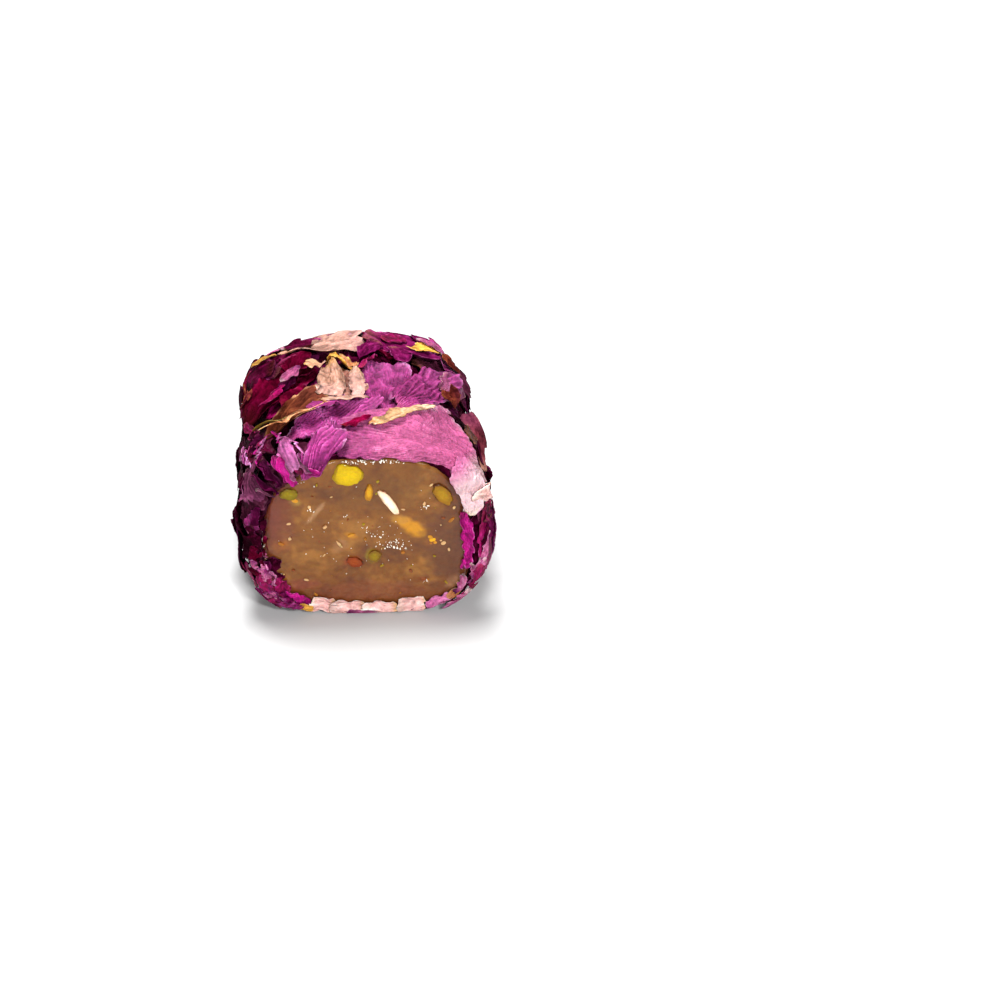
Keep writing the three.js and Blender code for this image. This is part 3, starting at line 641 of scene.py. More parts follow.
def addNode(tree, kind, **settings):  # a setting may be another node's output, which is then linked
    node = tree.nodes.new("ShaderNode" + kind)
    for key, value in settings.items():
        if key in node.bl_rna.properties:
            setattr(node, key, value)
        elif isinstance(value, bpy.types.NodeSocket):
            tree.links.new(value, node.inputs[key.replace("_", " ")])
        else:
            node.inputs[key.replace("_", " ")].default_value = value
    return node


def multiplyAdd(tree, *terms):  # value, factor and what is added, numbers or outputs
    node = addNode(tree, "Math", operation="MULTIPLY_ADD")
    for socket, term in zip(node.inputs, terms):
        if isinstance(term, float):
            socket.default_value = term
        else:
            tree.links.new(term, socket)
    return node.outputs[0]


def ranged(tree, value, low, high, toLow, toHigh):
    node = addNode(tree, "MapRange", Value=value, From_Min=low, From_Max=high, To_Min=toLow, To_Max=toHigh)
    return node.outputs[0]


def scaledColour(tree, colour, scale):
    node = addNode(tree, "VectorMath", operation="SCALE", Scale=scale)
    tree.links.new(colour, node.inputs[0])
    return node.outputs[0]


dryForm = {
    "fibres": {"noise_type": "RIDGED_MULTIFRACTAL", "Scale": 2.6, "Detail": 5.0, "Roughness": 0.62},
    "crinkles": {"noise_type": "RIDGED_MULTIFRACTAL", "Scale": 1600.0, "Detail": 4.0, "Roughness": 0.6},
    "crinkled": 0.7,
    "mottling": {"Scale": 2600.0, "Detail": 4.0, "Roughness": 0.7},
    "mottled": 0.5,
    "heightShades": (0.4, 2.6, -1.0, 1.2),  # painted shade and highlight from the relief's height: from and to, then what they become
    "mottleShades": (0.3, 0.7, -1.0, 1.0),
    "roughness": (0.3, 0.7, 0.45, 0.7),
    "reliefDepth": 0.00038,
}


def dryPetalGroup():  # fibres that fan from the claw, crinkles and mottling; the colour also darkens in the relief's hollows and lightens on its tops, as painted shade and highlight
    form = dryForm
    outputs = [("Colour", "Color"), ("Roughness", "Float"), ("Height", "Float")]
    tree, given, result = newGroup("dryPetal", [("Tint", "Color"), ("Mottle", "Float")], outputs)
    place = addNode(tree, "Attribute", attribute_name="place").outputs["Vector"]
    where = addNode(tree, "TexCoord").outputs["Object"]
    fibres = addNode(tree, "TexNoise", Vector=place, **form["fibres"]).outputs["Fac"]
    crinkles = addNode(tree, "TexNoise", Vector=where, **form["crinkles"]).outputs["Fac"]
    mottling = addNode(tree, "TexNoise", Vector=where, **form["mottling"]).outputs["Fac"]
    height = multiplyAdd(tree, crinkles, form["crinkled"], fibres)
    shade = ranged(tree, height, *form["heightShades"])
    both = multiplyAdd(tree, ranged(tree, mottling, *form["mottleShades"]), form["mottled"], shade)
    scale = multiplyAdd(tree, both, given.outputs["Mottle"], 1.0)
    tree.links.new(height, result.inputs["Height"])
    tree.links.new(scaledColour(tree, given.outputs["Tint"], scale), result.inputs["Colour"])
    tree.links.new(ranged(tree, mottling, *form["roughness"]), result.inputs["Roughness"])
    return tree


dryPetal = dryPetalGroup()


def newMaterial(name, **settings):
    material = bpy.data.materials.new(name)
    material.use_nodes = True
    shader = material.node_tree.nodes["Principled BSDF"]
    for key, value in settings.items():
        shader.inputs[key.replace("_", " ")].default_value = value
    return material, material.node_tree, shader


def petalMaterial(name, shadeAndMottle, **settings):
    material, tree, shader = newMaterial(name, **settings)
    tint = addNode(tree, "Attribute", attribute_name="tint").outputs["Color"]
    skin = addNode(tree, "Group", node_tree=dryPetal, Mottle=shadeAndMottle, Tint=tint).outputs
    relief = addNode(tree, "Bump", Strength=1.0, Distance=dryForm["reliefDepth"], Height=skin["Height"])
    tree.links.new(skin["Colour"], shader.inputs["Base Color"])
    tree.links.new(skin["Roughness"], shader.inputs["Roughness"])
    tree.links.new(relief.outputs["Normal"], shader.inputs["Normal"])
    return material


darkPetalSkin = petalMaterial("darkPetalSkin", 0.4, IOR=1.06, Specular_IOR_Level=0.2)
brightPetalSkin = petalMaterial("brightPetalSkin", 0.42, IOR=1.25, Specular_IOR_Level=0.3,
                                Subsurface_Weight=0.1, Subsurface_Scale=0.0005)
palePetalSkin = petalMaterial("palePetalSkin", 0.22, Specular_IOR_Level=0.16,
                              Subsurface_Weight=0.12, Subsurface_Scale=0.0005)
darkKinds = ("maroon", "plum", "brown", "dusty", "crimson")
paleKinds = ("claw", "blush", "strip", "straw", "cream", "shell", "apricot")


def petalSkin(kind, dark):
    return palePetalSkin if kind in paleKinds else darkPetalSkin if kind in dark else brightPetalSkin


# The small petals pressed round the block, in the order they were laid.
underPetals = {
    "seed": 41,
    "columns": 14,
    "rows": 5,
    "order": (5, 8, 13),
    "overhang": 1.5,
    "length": (8, 13),
    "widthShare": (0.65, 0.85),
    "curl": (3, 12),
    "lift": 0.225,
    "crumple": 0.22,
    "pressedTo": 1.1,
    "cells": (24, 18),
    "lay": {"thick": 0.09, "gap": 0.03, "reach": 1.0},
}
familyShares = {"maroon": 0.6, "plum": 0.7, "magenta": 0.9, "dusty": 1.0}  # each up to this share
topFamily = {"reach": 17, "maroon": 0.35}  # there are fewer maroon ones on top
familySeed = 7


def layUnderPetals():
    under = underPetals
    random = makeRandom(under["seed"])
    between = lambda a, b: blend(a, b, random())
    byColumn, byRow, turns = under["order"]
    places = [(c, r) for c in range(under["columns"]) for r in range(under["rows"])]
    places.sort(key=lambda place: (place[0] * byColumn + place[1] * byRow) % turns)
    reach = under["overhang"]
    sheets = []
    for column, row in places:
        length = between(*under["length"])
        own = {
            "s": (column + between(0.1, 0.9)) * perimeter / under["columns"],
            "m": blend(-reach, sideLength + reach, (row + between(-0.2, 0.2)) / (under["rows"] - 1)),
            "turn": between(0, 360),
            "length": length,
            "width": length * between(*under["widthShare"]),
            "curl": between(*under["curl"]),
            "lift": between(0, under["lift"]),
            "liftTo": between(0, 360),
            "wave": between(0, under["lift"]),
            "cells": under["cells"],
            "crumple": under["crumple"],
        }
        sheets.append(layPetal(heights, own, between(0, 6), under["lay"]))
    for sheet in sheets:
        sheet["h"] = pressTo(under["pressedTo"], sheet["h"])
    heights[:] = pressTo(under["pressedTo"], heights)
    return sheets


families = {kind: [] for kind in familyShares}
pick = makeRandom(familySeed)
for sheet in layUnderPetals():
    draw = pick()
    high = abs(signedRun(sheet["petal"]["s"])) < topFamily["reach"]
    shares = {**familyShares, "maroon": topFamily["maroon"]} if high else familyShares
    kind = next(kind for kind, share in shares.items() if draw < share)
    families[kind].append(shell(sheet, kind))
for kind, parts in families.items():
    buildMesh(kind + "Wrap", parts, darkPetalSkin, ["petal_coat"])
print("small petals", {kind: len(parts) for kind, parts in families.items()})

# The dark bed that the petals are pressed on, with painted shade in its folds and hollows and painted
# highlight on its crests.
bed = {
    "columns": 300,
    "rows": 90,
    "heldBack": 0.4,  # from the cut's edge
    "bridging": 1.25,
    "below": 0.35,  # the petals
    "creases": (1.6, 0.3, 31),  # size, height, seed
    "lumps": (0.6, 0.15, 32),
    # painted shade in the folds, painted highlight on the crests
    "fold": (40, 0, 16),
    "crestHighlight": (92, 10, 50),
    "jellyLap": 0.2,
}


def wrapBed():
    columns = bed["columns"]
    s = np.linspace(0, perimeter, columns, endpoint=False)[:, None]
    m = np.linspace(-wrap["arc"], sideLength + wrap["arc"], bed["rows"] + 1)[None]
    s, m = np.broadcast_arrays(s, m)
    m = trimAtCut(s, m, 0, -bed["heldBack"])
    spot = surfacePoints(s, m, 0 * s)
    under = heightAt(bridged(heights, bed["bridging"]), s, m) - bed["below"]
    size, tall, seed = bed["creases"]
    h = under + tall * creasesAt(spot, size, seed) + layered(spot, [bed["lumps"]])
    outer = surfacePoints(s, m, h)
    edge = sectionAt(s[:, 0])[0]
    lap = halfLength - bed["jellyLap"]
    inner = np.stack([settle(edge[:, 0], np.full(columns, y), edge[:, 1]) for y in (lap, -lap)], 1)
    points = np.concatenate([outer, inner], 1)
    profile = points.shape[1]
    index = np.arange(columns * profile).reshape(columns, profile)
    nextColumn, nextRow = np.roll(index, -1, 0), np.roll(index, -1, 1)
    faces = np.stack([index, nextColumn, np.roll(nextColumn, -1, 1), nextRow], -1).reshape(-1, 4)
    rise = np.concatenate([h - under, np.zeros((columns, 2))], 1)
    # painted shade in the hollows, and in the folds against the crests
    lit = np.concatenate([keptLight(s, m), np.ones((columns, 2))], 1)
    colour = blend(paint(*bed["fold"]), paint(*bed["crestHighlight"]), smooth(0, bed["below"], rise)[..., None])
    points, colour = points.reshape(-1, 3), (colour * lit[..., None]).reshape(-1, 3)
    return {"points": points, "faces": faces, "colour": colour, "place": points * 0.5}


buildMesh("petalBed", [wrapBed()], darkPetalSkin, ["petal_coat"])


# s and m place a petal's middle, and turn is where its tip points, in degrees from straight back towards
# growing s.
def frill(kind, s, m, turn, length, width=1.9, stand=40, **more):
    return dict(kind=kind, s=s, m=m, turn=turn, length=length, width=width, stand=stand, **more)


def patch(*place, **more):  # a scrap that lies flat
    return frill(*place, stand=0, strip=False, **more)


fine = (60, 98)  # cells along and across a petal
middling = (38, 31)


def petal(*place, stand=0, cells=middling, **more):
    return frill(*place, stand=stand, cells=cells, **more)


# The large petals that show singly, in the order they were laid.
largePetals = [
    petal("dusty", -18, 1.2, 200, 10, 8, curl=8, liftTo=30),
    petal("maroon", -26, 3, 150, 13, 9, liftTo=200),
    petal("maroon", -23.5, 13, 20, 14, 10, lift=0.3, liftTo=90),
    petal("maroon", -29, 22, 100, 13, 9.5, curl=5),
    petal("maroon", -16.5, 24, 10, 12, 9, liftTo=60),
    petal("maroon", -31.5, 11, 200, 11, 8, curl=5, liftTo=90),
    petal("magenta", -32.6, -0.4, 265, 8.0, 3.6, curl=2, lift=0, wave=0, crumple=0.2, roll=0, torn=0.04),
    petal("maroon", 21.5, 7, 100, 13, 9, liftTo=180),
    petal("maroon", 27, 14.5, 170, 14, 10, lift=0.3, liftTo=90),
    petal("plum", 20.5, 22.5, 60, 13, 10, liftTo=300),
    petal("maroon", 30.5, 24, 10, 12, 9, curl=5),
    petal("magenta", 31.5, 5.5, 120, 11, 8, curl=5),
    petal("dusty", 12.6, 22, 75, 10.5, 8),
    petal("crimson", -12, 18, 72, 13, 9, curl=18, liftTo=250, wave=0.4),
    petal("orchid", 3.2, 13.2, 2, 16.5, 8.4, tone="violet", curl=3, lift=0.1, wave=0.1, pleats=19,
          pleatDepth=0.2, cells=fine),
    petal("orchid", 8.2, 13.6, 35, 16.0, 6.4, tone="violet", curl=5, liftTo=40, wave=0.1, notchDepth=0.05,
          pleats=9, pleatDepth=0.5, cells=fine),
    petal("orchid", -4.6, 6.9, 59, 15.5, 8.2, tone="lavender", curl=5, notchDepth=0, lift=0.1, wave=0.1,
          pleats=18, pleatDepth=0.85, veined=0.85, crumple=0.35, valley=0.52, cells=fine),
    petal("pink", 5.8, 1.2, -94, 28, 10.6, curl=1, lift=0, wave=0, pleats=34, pleatDepth=0.12, veined=0.4,
          crumple=0.3, creaseSize=1.7, creaseStretch=2.4, overCut=1.1, valley=0.34, lobe=(-0.53, 0.3, 1.65),
          cells=(120, 112)),
    petal("orchid", -6.6, -1.5, 38, 9.8, 5.4, tone="lavender", curl=12, notchDepth=0, lift=0.1, wave=0.1,
          pleats=10, pleatDepth=0.8, veined=0.8, crumple=0.35, overCut=1.0, valley=0.5, cells=fine),
    petal("pink", -10.6, 0.2, 186, 4.2, 2.6, tone="lilac", curl=12, lift=0.1, wave=0.1, pleats=6,
          pleatDepth=0.4, torn=0.15, crumple=0.4),
    petal("dusty", -16.3, 0.9, 200, 7.2, 4.6, tone="mauve", torn=0.16, curl=8, liftTo=270, lift=0.1),
    petal("magenta", 25, -0.8, 88, 13, 5.4, curl=16, lift=0.1, liftTo=90),
    petal("cream", -3.0, 14.6, 176, 12.0, 8.0, tone="hollowCream", curl=4, liftTo=180, lift=0, wave=0,
          crumple=0.5, creaseSize=2.4, creaseStretch=1.2, torn=0.04, notchDepth=0, tipBroader=0.5,
          folds=((1.5, 1.2, 1.3), (-2.4, 0.9, 0.8)), cells=fine),
    petal("tan", -9.8, 8.0, 66, 11.5, 7.2, curl=40, lift=0, cells=fine),
    petal("cream", -4.5, 26, 85, 12.5, 8, tone="peach", curl=5, lift=0.1),
    petal("plum", 6.8, 25.4, 100, 12, 8.5, curl=5, lift=0.1, liftTo=90),
    petal("dusty", 17.2, 11.6, -14, 11.5, 4.5, tone="faded", stand=50, rooted=1.5, curl=2, lift=0,
          notchDepth=0.16, tipBroader=0.2, wave=0, torn=0.0, crumple=0.2, roll=0.2),
]
largeLay = {"thick": 0.13, "gap": 0.08, "reach": 1.5}
largePhase = 1.7  # each petal differs from the last by this
for number, own in enumerate(largePetals):
    sheet = layPetal(heights, own, number * largePhase, largeLay)
    piece = shell(sheet, own.get("tone", own["kind"]))
    skin = petalSkin(own["kind"], (*darkKinds, "tan"))
    label = f"{number + 1:02d}"
    buildMesh("largePetal" + label, [piece], skin, ["petal_" + label])
print("large petals", len(largePetals))

# Frills, torn scraps and the edges of pressed petals that show at the cuts.
frillLay = {"thick": 0.1, "gap": 0.02, "reach": 0.5}
frillPhase = {"first": 3.1, "step": 1.3}
plainFrill = {
    "strip": True, "ruffles": 2.8, "curl": 20, "lift": 0.1, "wave": 0.1, "roll": 0.3, "rollRadius": 0.4,
    "crumple": 0.25, "creaseSize": 1.3, "torn": 0.16,
    "press": 3.4,  # how high it may stand over the base
    "detail": 5.0,  # cells for each millimetre
}
ruffling = {"steepFrom": 60, "steep": 0.45, "low": 0.28}
strip = {"stand": 0, "press": 0.9, "ruffle": 0, "crumple": 0.16, "creaseSize": 1.8, "valley": 0.3,
         "torn": 0.12}
frills = [
    # the large pink petal's pale claw, which laps over the right shoulder
    patch("claw", 15.6, -2.1, -70, 9.2, 5.2, ruffle=0, press=6, pleats=14, pleatDepth=0.25, crumple=0.4,
          creaseSize=2.2, overCut=0.7, notchDepth=0, roll=0.2, torn=0.05, valley=0.3, detail=8.0),
    frill("blush", 18.7, -0.7, -150, 5.6, 2.0, 15, ruffle=0.1, press=4),
    # ruffles over the left shoulder, most of them on edge
    frill("magenta", -15.4, 5.5, 174, 7.0, stand=72),
    frill("orchid", -16.6, 6.5, 168, 7.5, stand=76),
    frill("plum", -14.0, 6.5, 186, 5.0, stand=60),
    frill("vivid", -13.6, 1.2, 178, 6.0, stand=74),
    frill("magenta", -12.4, 3.6, 190, 5.0, stand=60),
    frill("vivid", -10.4, 2.2, 160, 7.0, stand=74),
    frill("vivid", -11.3, -1.9, 178, 4.6, 1.6, 50),
    frill("vivid", -10.6, -2.8, 184, 4.0, 1.5, 30, roll=0.8, overCut=1.4),
    frill("vivid", -7.2, -3.2, 120, 3.6, 1.0, 20, roll=0.8, overCut=0.8),
    frill("magenta", -9.6, -0.9, 168, 5.0, 1.7, 66),
    frill("rosy", -8.6, -2.4, 150, 3.4, 1.3, 50),
    frill("rosy", -10.4, -2.8, 196, 2.8, 1.1, 50),
    frill("plum", -12.8, -1.6, 186, 4.4, 1.6, 60),
    frill("plum", -14.6, -2.0, 172, 4.4, 1.2, 62),
    frill("pink", -15.4, -2.8, 160, 2.6, 0.7, 56),
    frill("dusty", -18.2, 13.0, 172, 5.4, 2.0, 30),
    frill("magenta", -16.4, 13.0, 176, 5.0, stand=60),
    frill("plum", -18.8, 7.4, 172, 6.5, stand=8, press=2.6),
    frill("orchid", -20.0, 4.0, 176, 4.0, 1.4, 12, press=2.4),
    frill("plum", -23.0, 8.0, 180, 7.0, 1.4, 5, press=2.2),
    frill("lilac", -17.2, 7.6, 168, 7.0, 0.8, 74),
    frill("lilac", -15.4, 3.4, 172, 6.0, 0.8, 76),
    frill("lilac", -13.0, 2.6, 196, 4.0, 0.8, 76),
    frill("lilac", -9.4, 1.0, 150, 6.0, 0.8, 70),
    frill("vivid", -39.4, -3.6, 88, 4.6, 3.2, 0, press=1.0, ruffle=0, overCut=1.4, pleats=6, pleatDepth=0.2),
    frill("vivid", -36.0, -3.2, 94, 4.0, 2.2, 6, press=1.2, overCut=0.8),
    # bottom left, ragged edges at the cut
    frill("plum", -20.0, -2.2, 95, 4.0, 1.3),
    frill("maroon", -23.4, -2.3, 85, 3.6, 1.2),
    frill("crimson", -26.6, -2.3, 100, 4.0, 1.3),
    frill("pink", -28.6, -2.5, 90, 2.6, 1.0),
    frill("crimson", -30.6, -2.4, 80, 3.6, 1.2),
    frill("orchid", -33.4, -2.3, 95, 3.6, 1.3),
    frill("pink", -35.0, -2.5, 82, 2.6, 1.0),
    frill("magenta", -37.0, -2.4, 85, 4.0, 1.4),
    frill("orchid", -36.0, -0.8, 90, 5.0, 1.6, 20, press=1.2),
    frill("magenta", -31.0, -0.6, 90, 5.0, 1.6, 20, press=1.4),
    frill("plum", -27.0, 2.0, 90, 9.5, 3.4, 32, ruffle=0.1, press=2.1),
    frill("maroon", -30.6, -4.8, 92, 6.4, 3.0, 0, ruffle=0, press=1.0, overCut=2.3, torn=0.3),
    frill("magenta", -34.6, -4.8, 96, 5.0, 2.8, 0, ruffle=0, press=1.2, overCut=2.2, torn=0.2),
    frill("rosy", -31.6, -3.8, 78, 4.4, 1.7, 16, press=1.8, overCut=1.4, torn=0.35),
    frill("rosy", -36.8, -3.4, 96, 3.0, 1.3, 16, press=1.4, torn=0.3),
    frill("vivid", -34.2, -2.0, 92, 5.0, 2.0, 10, press=1.4),
    frill("vivid", -38.2, -4.0, 92, 4.4, 2.0, 6, press=1.2, overCut=1.8),
    frill("orchid", -21.0, -1.6, 100, 4.4, 1.6, 20, press=1.6, overCut=0.8),
    # pale strips under the front edge
    frill("blush", -43.4, -3.9, 93, 4.2, 4.2, overCut=2.2, **strip),
    frill("blush", -47.2, -3.7, 88, 5.4, 3.6, overCut=1.6, **strip),
    frill("blush", 48.6, -3.6, 91, 5.6, 3.4, overCut=1.3, **strip),
    frill("blush", 43.8, -3.8, 86, 4.8, 4.0, overCut=1.9, **strip),
    frill("pink", 39.4, -3.4, 94, 4.6, 2.8, tone="rosy", overCut=1.0, **strip),
    frill("apricot", 36.6, -3.3, 90, 2.8, 1.8, overCut=1.0, **strip),
    frill("straw", -41.0, -3.2, 95, 2.6, 1.8, overCut=0.6, **strip),
    frill("pink", -49.6, -2.8, 90, 5.0, 2.0, overCut=0.4, **strip),
    # a bright petal pressed along the right of the front cut, and folds outside it
    frill("vivid", 24.8, -3.3, 90, 12.5, 2.6, 4, ruffle=0.1, overCut=1.4, press=1.4, torn=0.03),
    frill("magenta", 21.0, -1.2, 82, 5.0, 1.5, 50, press=2.2),
    frill("pink", 27.0, -1.3, 98, 8.0, 1.6, 30, press=1.8),
    frill("orchid", 24.0, -0.2, 94, 9.0, 1.4, 60, press=2.2),
    frill("pink", 30.6, -1.9, 96, 6.0, 1.8, 20, press=1.6),
    # the torn pale strip along the large pink petal, and a crimson bit beside it
    frill("strip", 4.3, 6.5, 59, 10.2, 1.5, 8, ruffle=0.1, press=6, torn=0.16, creaseSize=0.9),
    frill("crimson", -1.6, 4.4, 66, 4.6, 1.5, 15, press=6),
    # the boat-shaped petal's turned-up rims
    frill("olive", -10.8, 6.0, 72, 5.0, 1.2, 50, ruffle=0.1, press=6),
    frill("apricot", -8.2, 6.0, 60, 9.4, 1.2, 55, ruffle=0.1, press=6),
    # scraps between the large petals on top
    frill("crimson", -8.4, 19.4, 70, 4.0, 2.2, 20),
    frill("magenta", 0.8, 20.8, 40, 4.5, 1.8),
    frill("crimson", 3.5, 22.5, 120, 4.5, 1.8),
    patch("mauve", 12.8, 17.8, 30, 6.2, 4.2, press=3.4),
    frill("brown", 12.2, 14.6, 50, 3.2, 1.8, 0, press=5, torn=0.3, crumple=0.5),
    patch("dusty", 15.4, 9.0, 30, 4.4, 3.4, press=2.4),
    patch("maroon", 13.6, 11.0, 60, 4.6, 3.0, press=2.4),
    frill("orchid", -4.6, 8.2, 62, 6.0, 2.4, 0, tone="lavender", press=5, pleats=7, pleatDepth=0.5,
          veined=0.8),
]
onTop = [
    # the cream petal's upright folds and the rim that turns up under them
    patch("cream", -4.1, 14.2, 178, 11.6, 4.8, press=7, crumple=0.6, tone="oldCream", creaseSize=1.2,
          creaseStretch=3.0, notchDepth=0.1, roll=0.1, folds=((1.3, 1.3, 0.6), (-0.6, 1.5, 0.8)), torn=0.06,
          tipBroader=0.34, valley=0.7, detail=8.0),
    frill("shell", -0.7, 12.8, 181, 8.2, 2.4, 0, press=7, crumple=0.35, ruffle=0, creaseSize=1.4,
          creaseStretch=3.0, torn=0.1, folds=((0.1, 1.4, 0.55),)),
    frill("shell", -2.5, 8.9, 84, 6.6, 0.95, 25, tone="peach", ruffle=0.3, press=7, torn=0.14),
    frill("shell", -5.5, 10.6, 10, 2.4, 1.2, 60, ruffle=0.3, press=7),
    frill("cream", -6.0, 19.2, 96, 2.8, 1.6, 10, press=6),
    # a brown leaf in the dark gap behind the pink petal's right edge
    patch("tan", 14.9, 8.4, 20, 4.2, 2.8, press=3, crumple=0.2),
    # behind them
    patch("straw", -2.9, 20.6, 88, 3.8, 3.4, press=6),
    patch("apricot", -1.6, 19.0, 120, 2.8, 2.2, press=6),
    patch("straw", 9.2, 24.4, 78, 4.6, 2.4),
    frill("pink", 10.6, 26.0, 110, 4.6, 1.8, 10),
    frill("brown", 13.6, 24.0, 120, 3.6, 2.2, 6),
    # over the left shoulder
    patch("lilac", -9.7, -1.5, 188, 3.2, 2.0, press=5, crumple=0.3),
    patch("maroon", -18.0, 10.0, 20, 7.0, 4.0, press=2.2),
    patch("maroon", -21.5, 19.0, 8, 11.0, 6.0, press=2.6, lift=0.5),
    patch("maroon", -21.0, 10.5, 185, 9.0, 5.0, press=2.4, lift=0.4),
    patch("cerise", -12.2, 15.8, 96, 4.0, 2.8, press=5, roll=0.9, folds=((0.3, 0.9, 0.6),)),
    patch("crimson", -8.6, 13.4, 70, 6.0, 3.4, press=4, roll=0.9),
    frill("pink", -9.6, 18.2, 60, 3.0, 1.8, 10, press=5),
    frill("brown", -15.4, 21.6, 160, 5.0, 2.2, 8, press=4, torn=0.3, crumple=0.45),
    frill("straw", -12.4, 25.0, 84, 3.0, 1.8, 6, press=4),
]
# Small scraps, thrown at the cut edges and over the top: how many, s, m, turn, size, share of width and
# how far they stand, from and to, then what height they are pressed to, and their kinds
scraps = [
    (6, (-19, -27), (-3.6, -2.8), (70, 110), (1.2, 2.6), (0.25, 0.4), (10, 40), 1.8,
     ("maroon", "crimson", "maroon")),
    (9, (-29, -39), (-3.6, -1.4), (70, 110), (3.0, 6.0), (0.24, 0.4), (10, 50), 1.8,
     ("magenta", "crimson", "orchid", "plum")),
    (9, (-26, -38), (-3.8, -2.8), (60, 120), (1.2, 2.4), (0.4, 0.7), (10, 50), 1.8,
     ("pink", "orchid", "magenta")),
    (5, (20, 24), (-2.4, -0.6), (60, 120), (2.5, 4.5), (0.2, 0.36), (30, 60), 1.8,
     ("plum", "maroon", "magenta")),
    (6, (30, 38), (-3.6, -1.0), (80, 100), (3.5, 6.5), (0.2, 0.32), (20, 45), 1.8,
     ("pink", "orchid", "magenta", "pink")),
    (9, (-8, -19), (17, 27), (0, 360), (3.5, 6.0), (0.4, 0.66), (2, 16), 3.2,
     ("maroon", "crimson", "plum", "maroon", "brown", "maroon")),
    (7, (2, 16), (22, 28), (0, 360), (3.4, 5.4), (0.5, 0.7), (0, 4), 3.2,
     ("plum", "magenta", "plum", "orchid", "plum", "maroon")),
    (10, (-19, -32), (2, 26), (150, 210), (4.0, 8.0), (0.3, 0.5), (0, 3), 2.2,
     ("maroon", "plum", "maroon", "maroon")),
    (10, (18, 32), (2, 26), (150, 210), (4.0, 8.0), (0.3, 0.5), (0, 3), 2.2,
     ("maroon", "plum", "maroon", "magenta")),
    (9, (-23, -31), (-4.4, -3.4), (70, 110), (0.8, 1.6), (0.3, 0.6), (10, 50), 1.8,
     ("crimson", "rosy", "apricot", "crimson")),
    (46, (-50, 50), (29.8, 31.4), (60, 120), (3.0, 6.5), (0.3, 0.6), (0, 22), 1.1,
     ("maroon", "plum", "magenta", "plum", "crimson", "orchid", "pink")),
]
scrapForm = {
    "seed": 19,
    "crumple": 0.2,
    "curl": 8,
    "ruffle": (0.1, 0.5),  # of those that stand at fullStand degrees
    "fullStand": 50,
    "overFront": (0.4, 1.4),
    "overBack": (0.2, 1.0),
}


def throwScraps():
    random = makeRandom(scrapForm["seed"])
    between = lambda a, b: blend(a, b, random())
    found = []
    for count, across, back, turns, sizes, shares, stands, press, kinds in scraps:
        over = scrapForm["overFront"] if back[0] < 0 else scrapForm["overBack"]
        for number in range(count):
            length = between(*sizes)
            found.append(frill(
                kinds[int(between(0, len(kinds) - 0.01))],
                blend(*across, (number + between(0.1, 0.9)) / count),
                between(*back),
                between(*turns),
                length,
                length * between(*shares),
                between(*stands),
                ruffle=stands[1] / scrapForm["fullStand"] * between(*scrapForm["ruffle"]),
                overCut=between(*over),
                crumple=scrapForm["crumple"],
                curl=scrapForm["curl"],
                press=press,
            ))
    return found


frills = frills + throwScraps() + onTop
frillParts = {}
for number, own in enumerate(frills):
    ruffle = ruffling["steep" if own["stand"] >= ruffling["steepFrom"] else "low"]
    form = {**plainFrill, "ruffle": ruffle, **own}
    form["cells"] = (int(form["length"] * form["detail"]), int(form["width"] * form["detail"]) + 4)
    sheet = layPetal(heights, form, frillPhase["first"] + number * frillPhase["step"], frillLay)
    sheet["h"] = pressTo(form["press"], sheet["h"])
    frillParts.setdefault(own["kind"], []).append(shell(sheet, own.get("tone", own["kind"])))
for kind, parts in frillParts.items():
    buildMesh(kind + "Frills", parts, petalSkin(kind, darkKinds), ["petal_coat"])
print("frills", len(frills))


def bandFaces(index):  # between rings of points, one row each
    after = np.roll(index, -1, 1)
    return np.stack([index[:-1], index[1:], after[1:], after[:-1]], -1).reshape(-1, 4)


def tipFaces(ring, tip):  # from a ring to one point
    near = [np.roll(ring, -k)[0::2] for k in range(3)]
    return np.stack([*near, np.full(len(ring) // 2, tip)], -1)


# The jelly, cloudy and wet on its cuts.
jelly = {
    "rings": 66,
    "columns": 256,
    "ringSpacing": 0.9,
    "edgeRound": 0.8,
    "edgeReach": 14,
    "relief": ((5, 0.14, 41), (1.8, 0.1, 42), (0.8, 0.08, 43)),  # size, share, seed
    "clouds": ((6, 1, 44), (2.2, 0.7, 45), (0.9, 0.5, 46)),
    "pushedUp": 0.75,  # by the knife, along the top of the front cut
    "pushedAt": 1.5,
    "pushedFrom": (0.8, 1.0),
    "pushedAcross": (11, 6),
    "body": (114, 68, 22),
    "deep": (92, 50, 20),
    "pale": (138, 90, 34),
    "low": (104, 52, 30),
    "lowStrength": 0.7,
    "lowTo": (9, 1),  # heights
    "rim": (88, 40, 28),
    "rimStrength": 0.75,
    "rimFrom": (0.78, 1.0),  # share of the way out
    "rimAcross": (7, 12),
    "bitBlur": (1.25, 0.55),
    "bitWander": (1.2, 0.35, 47),
}
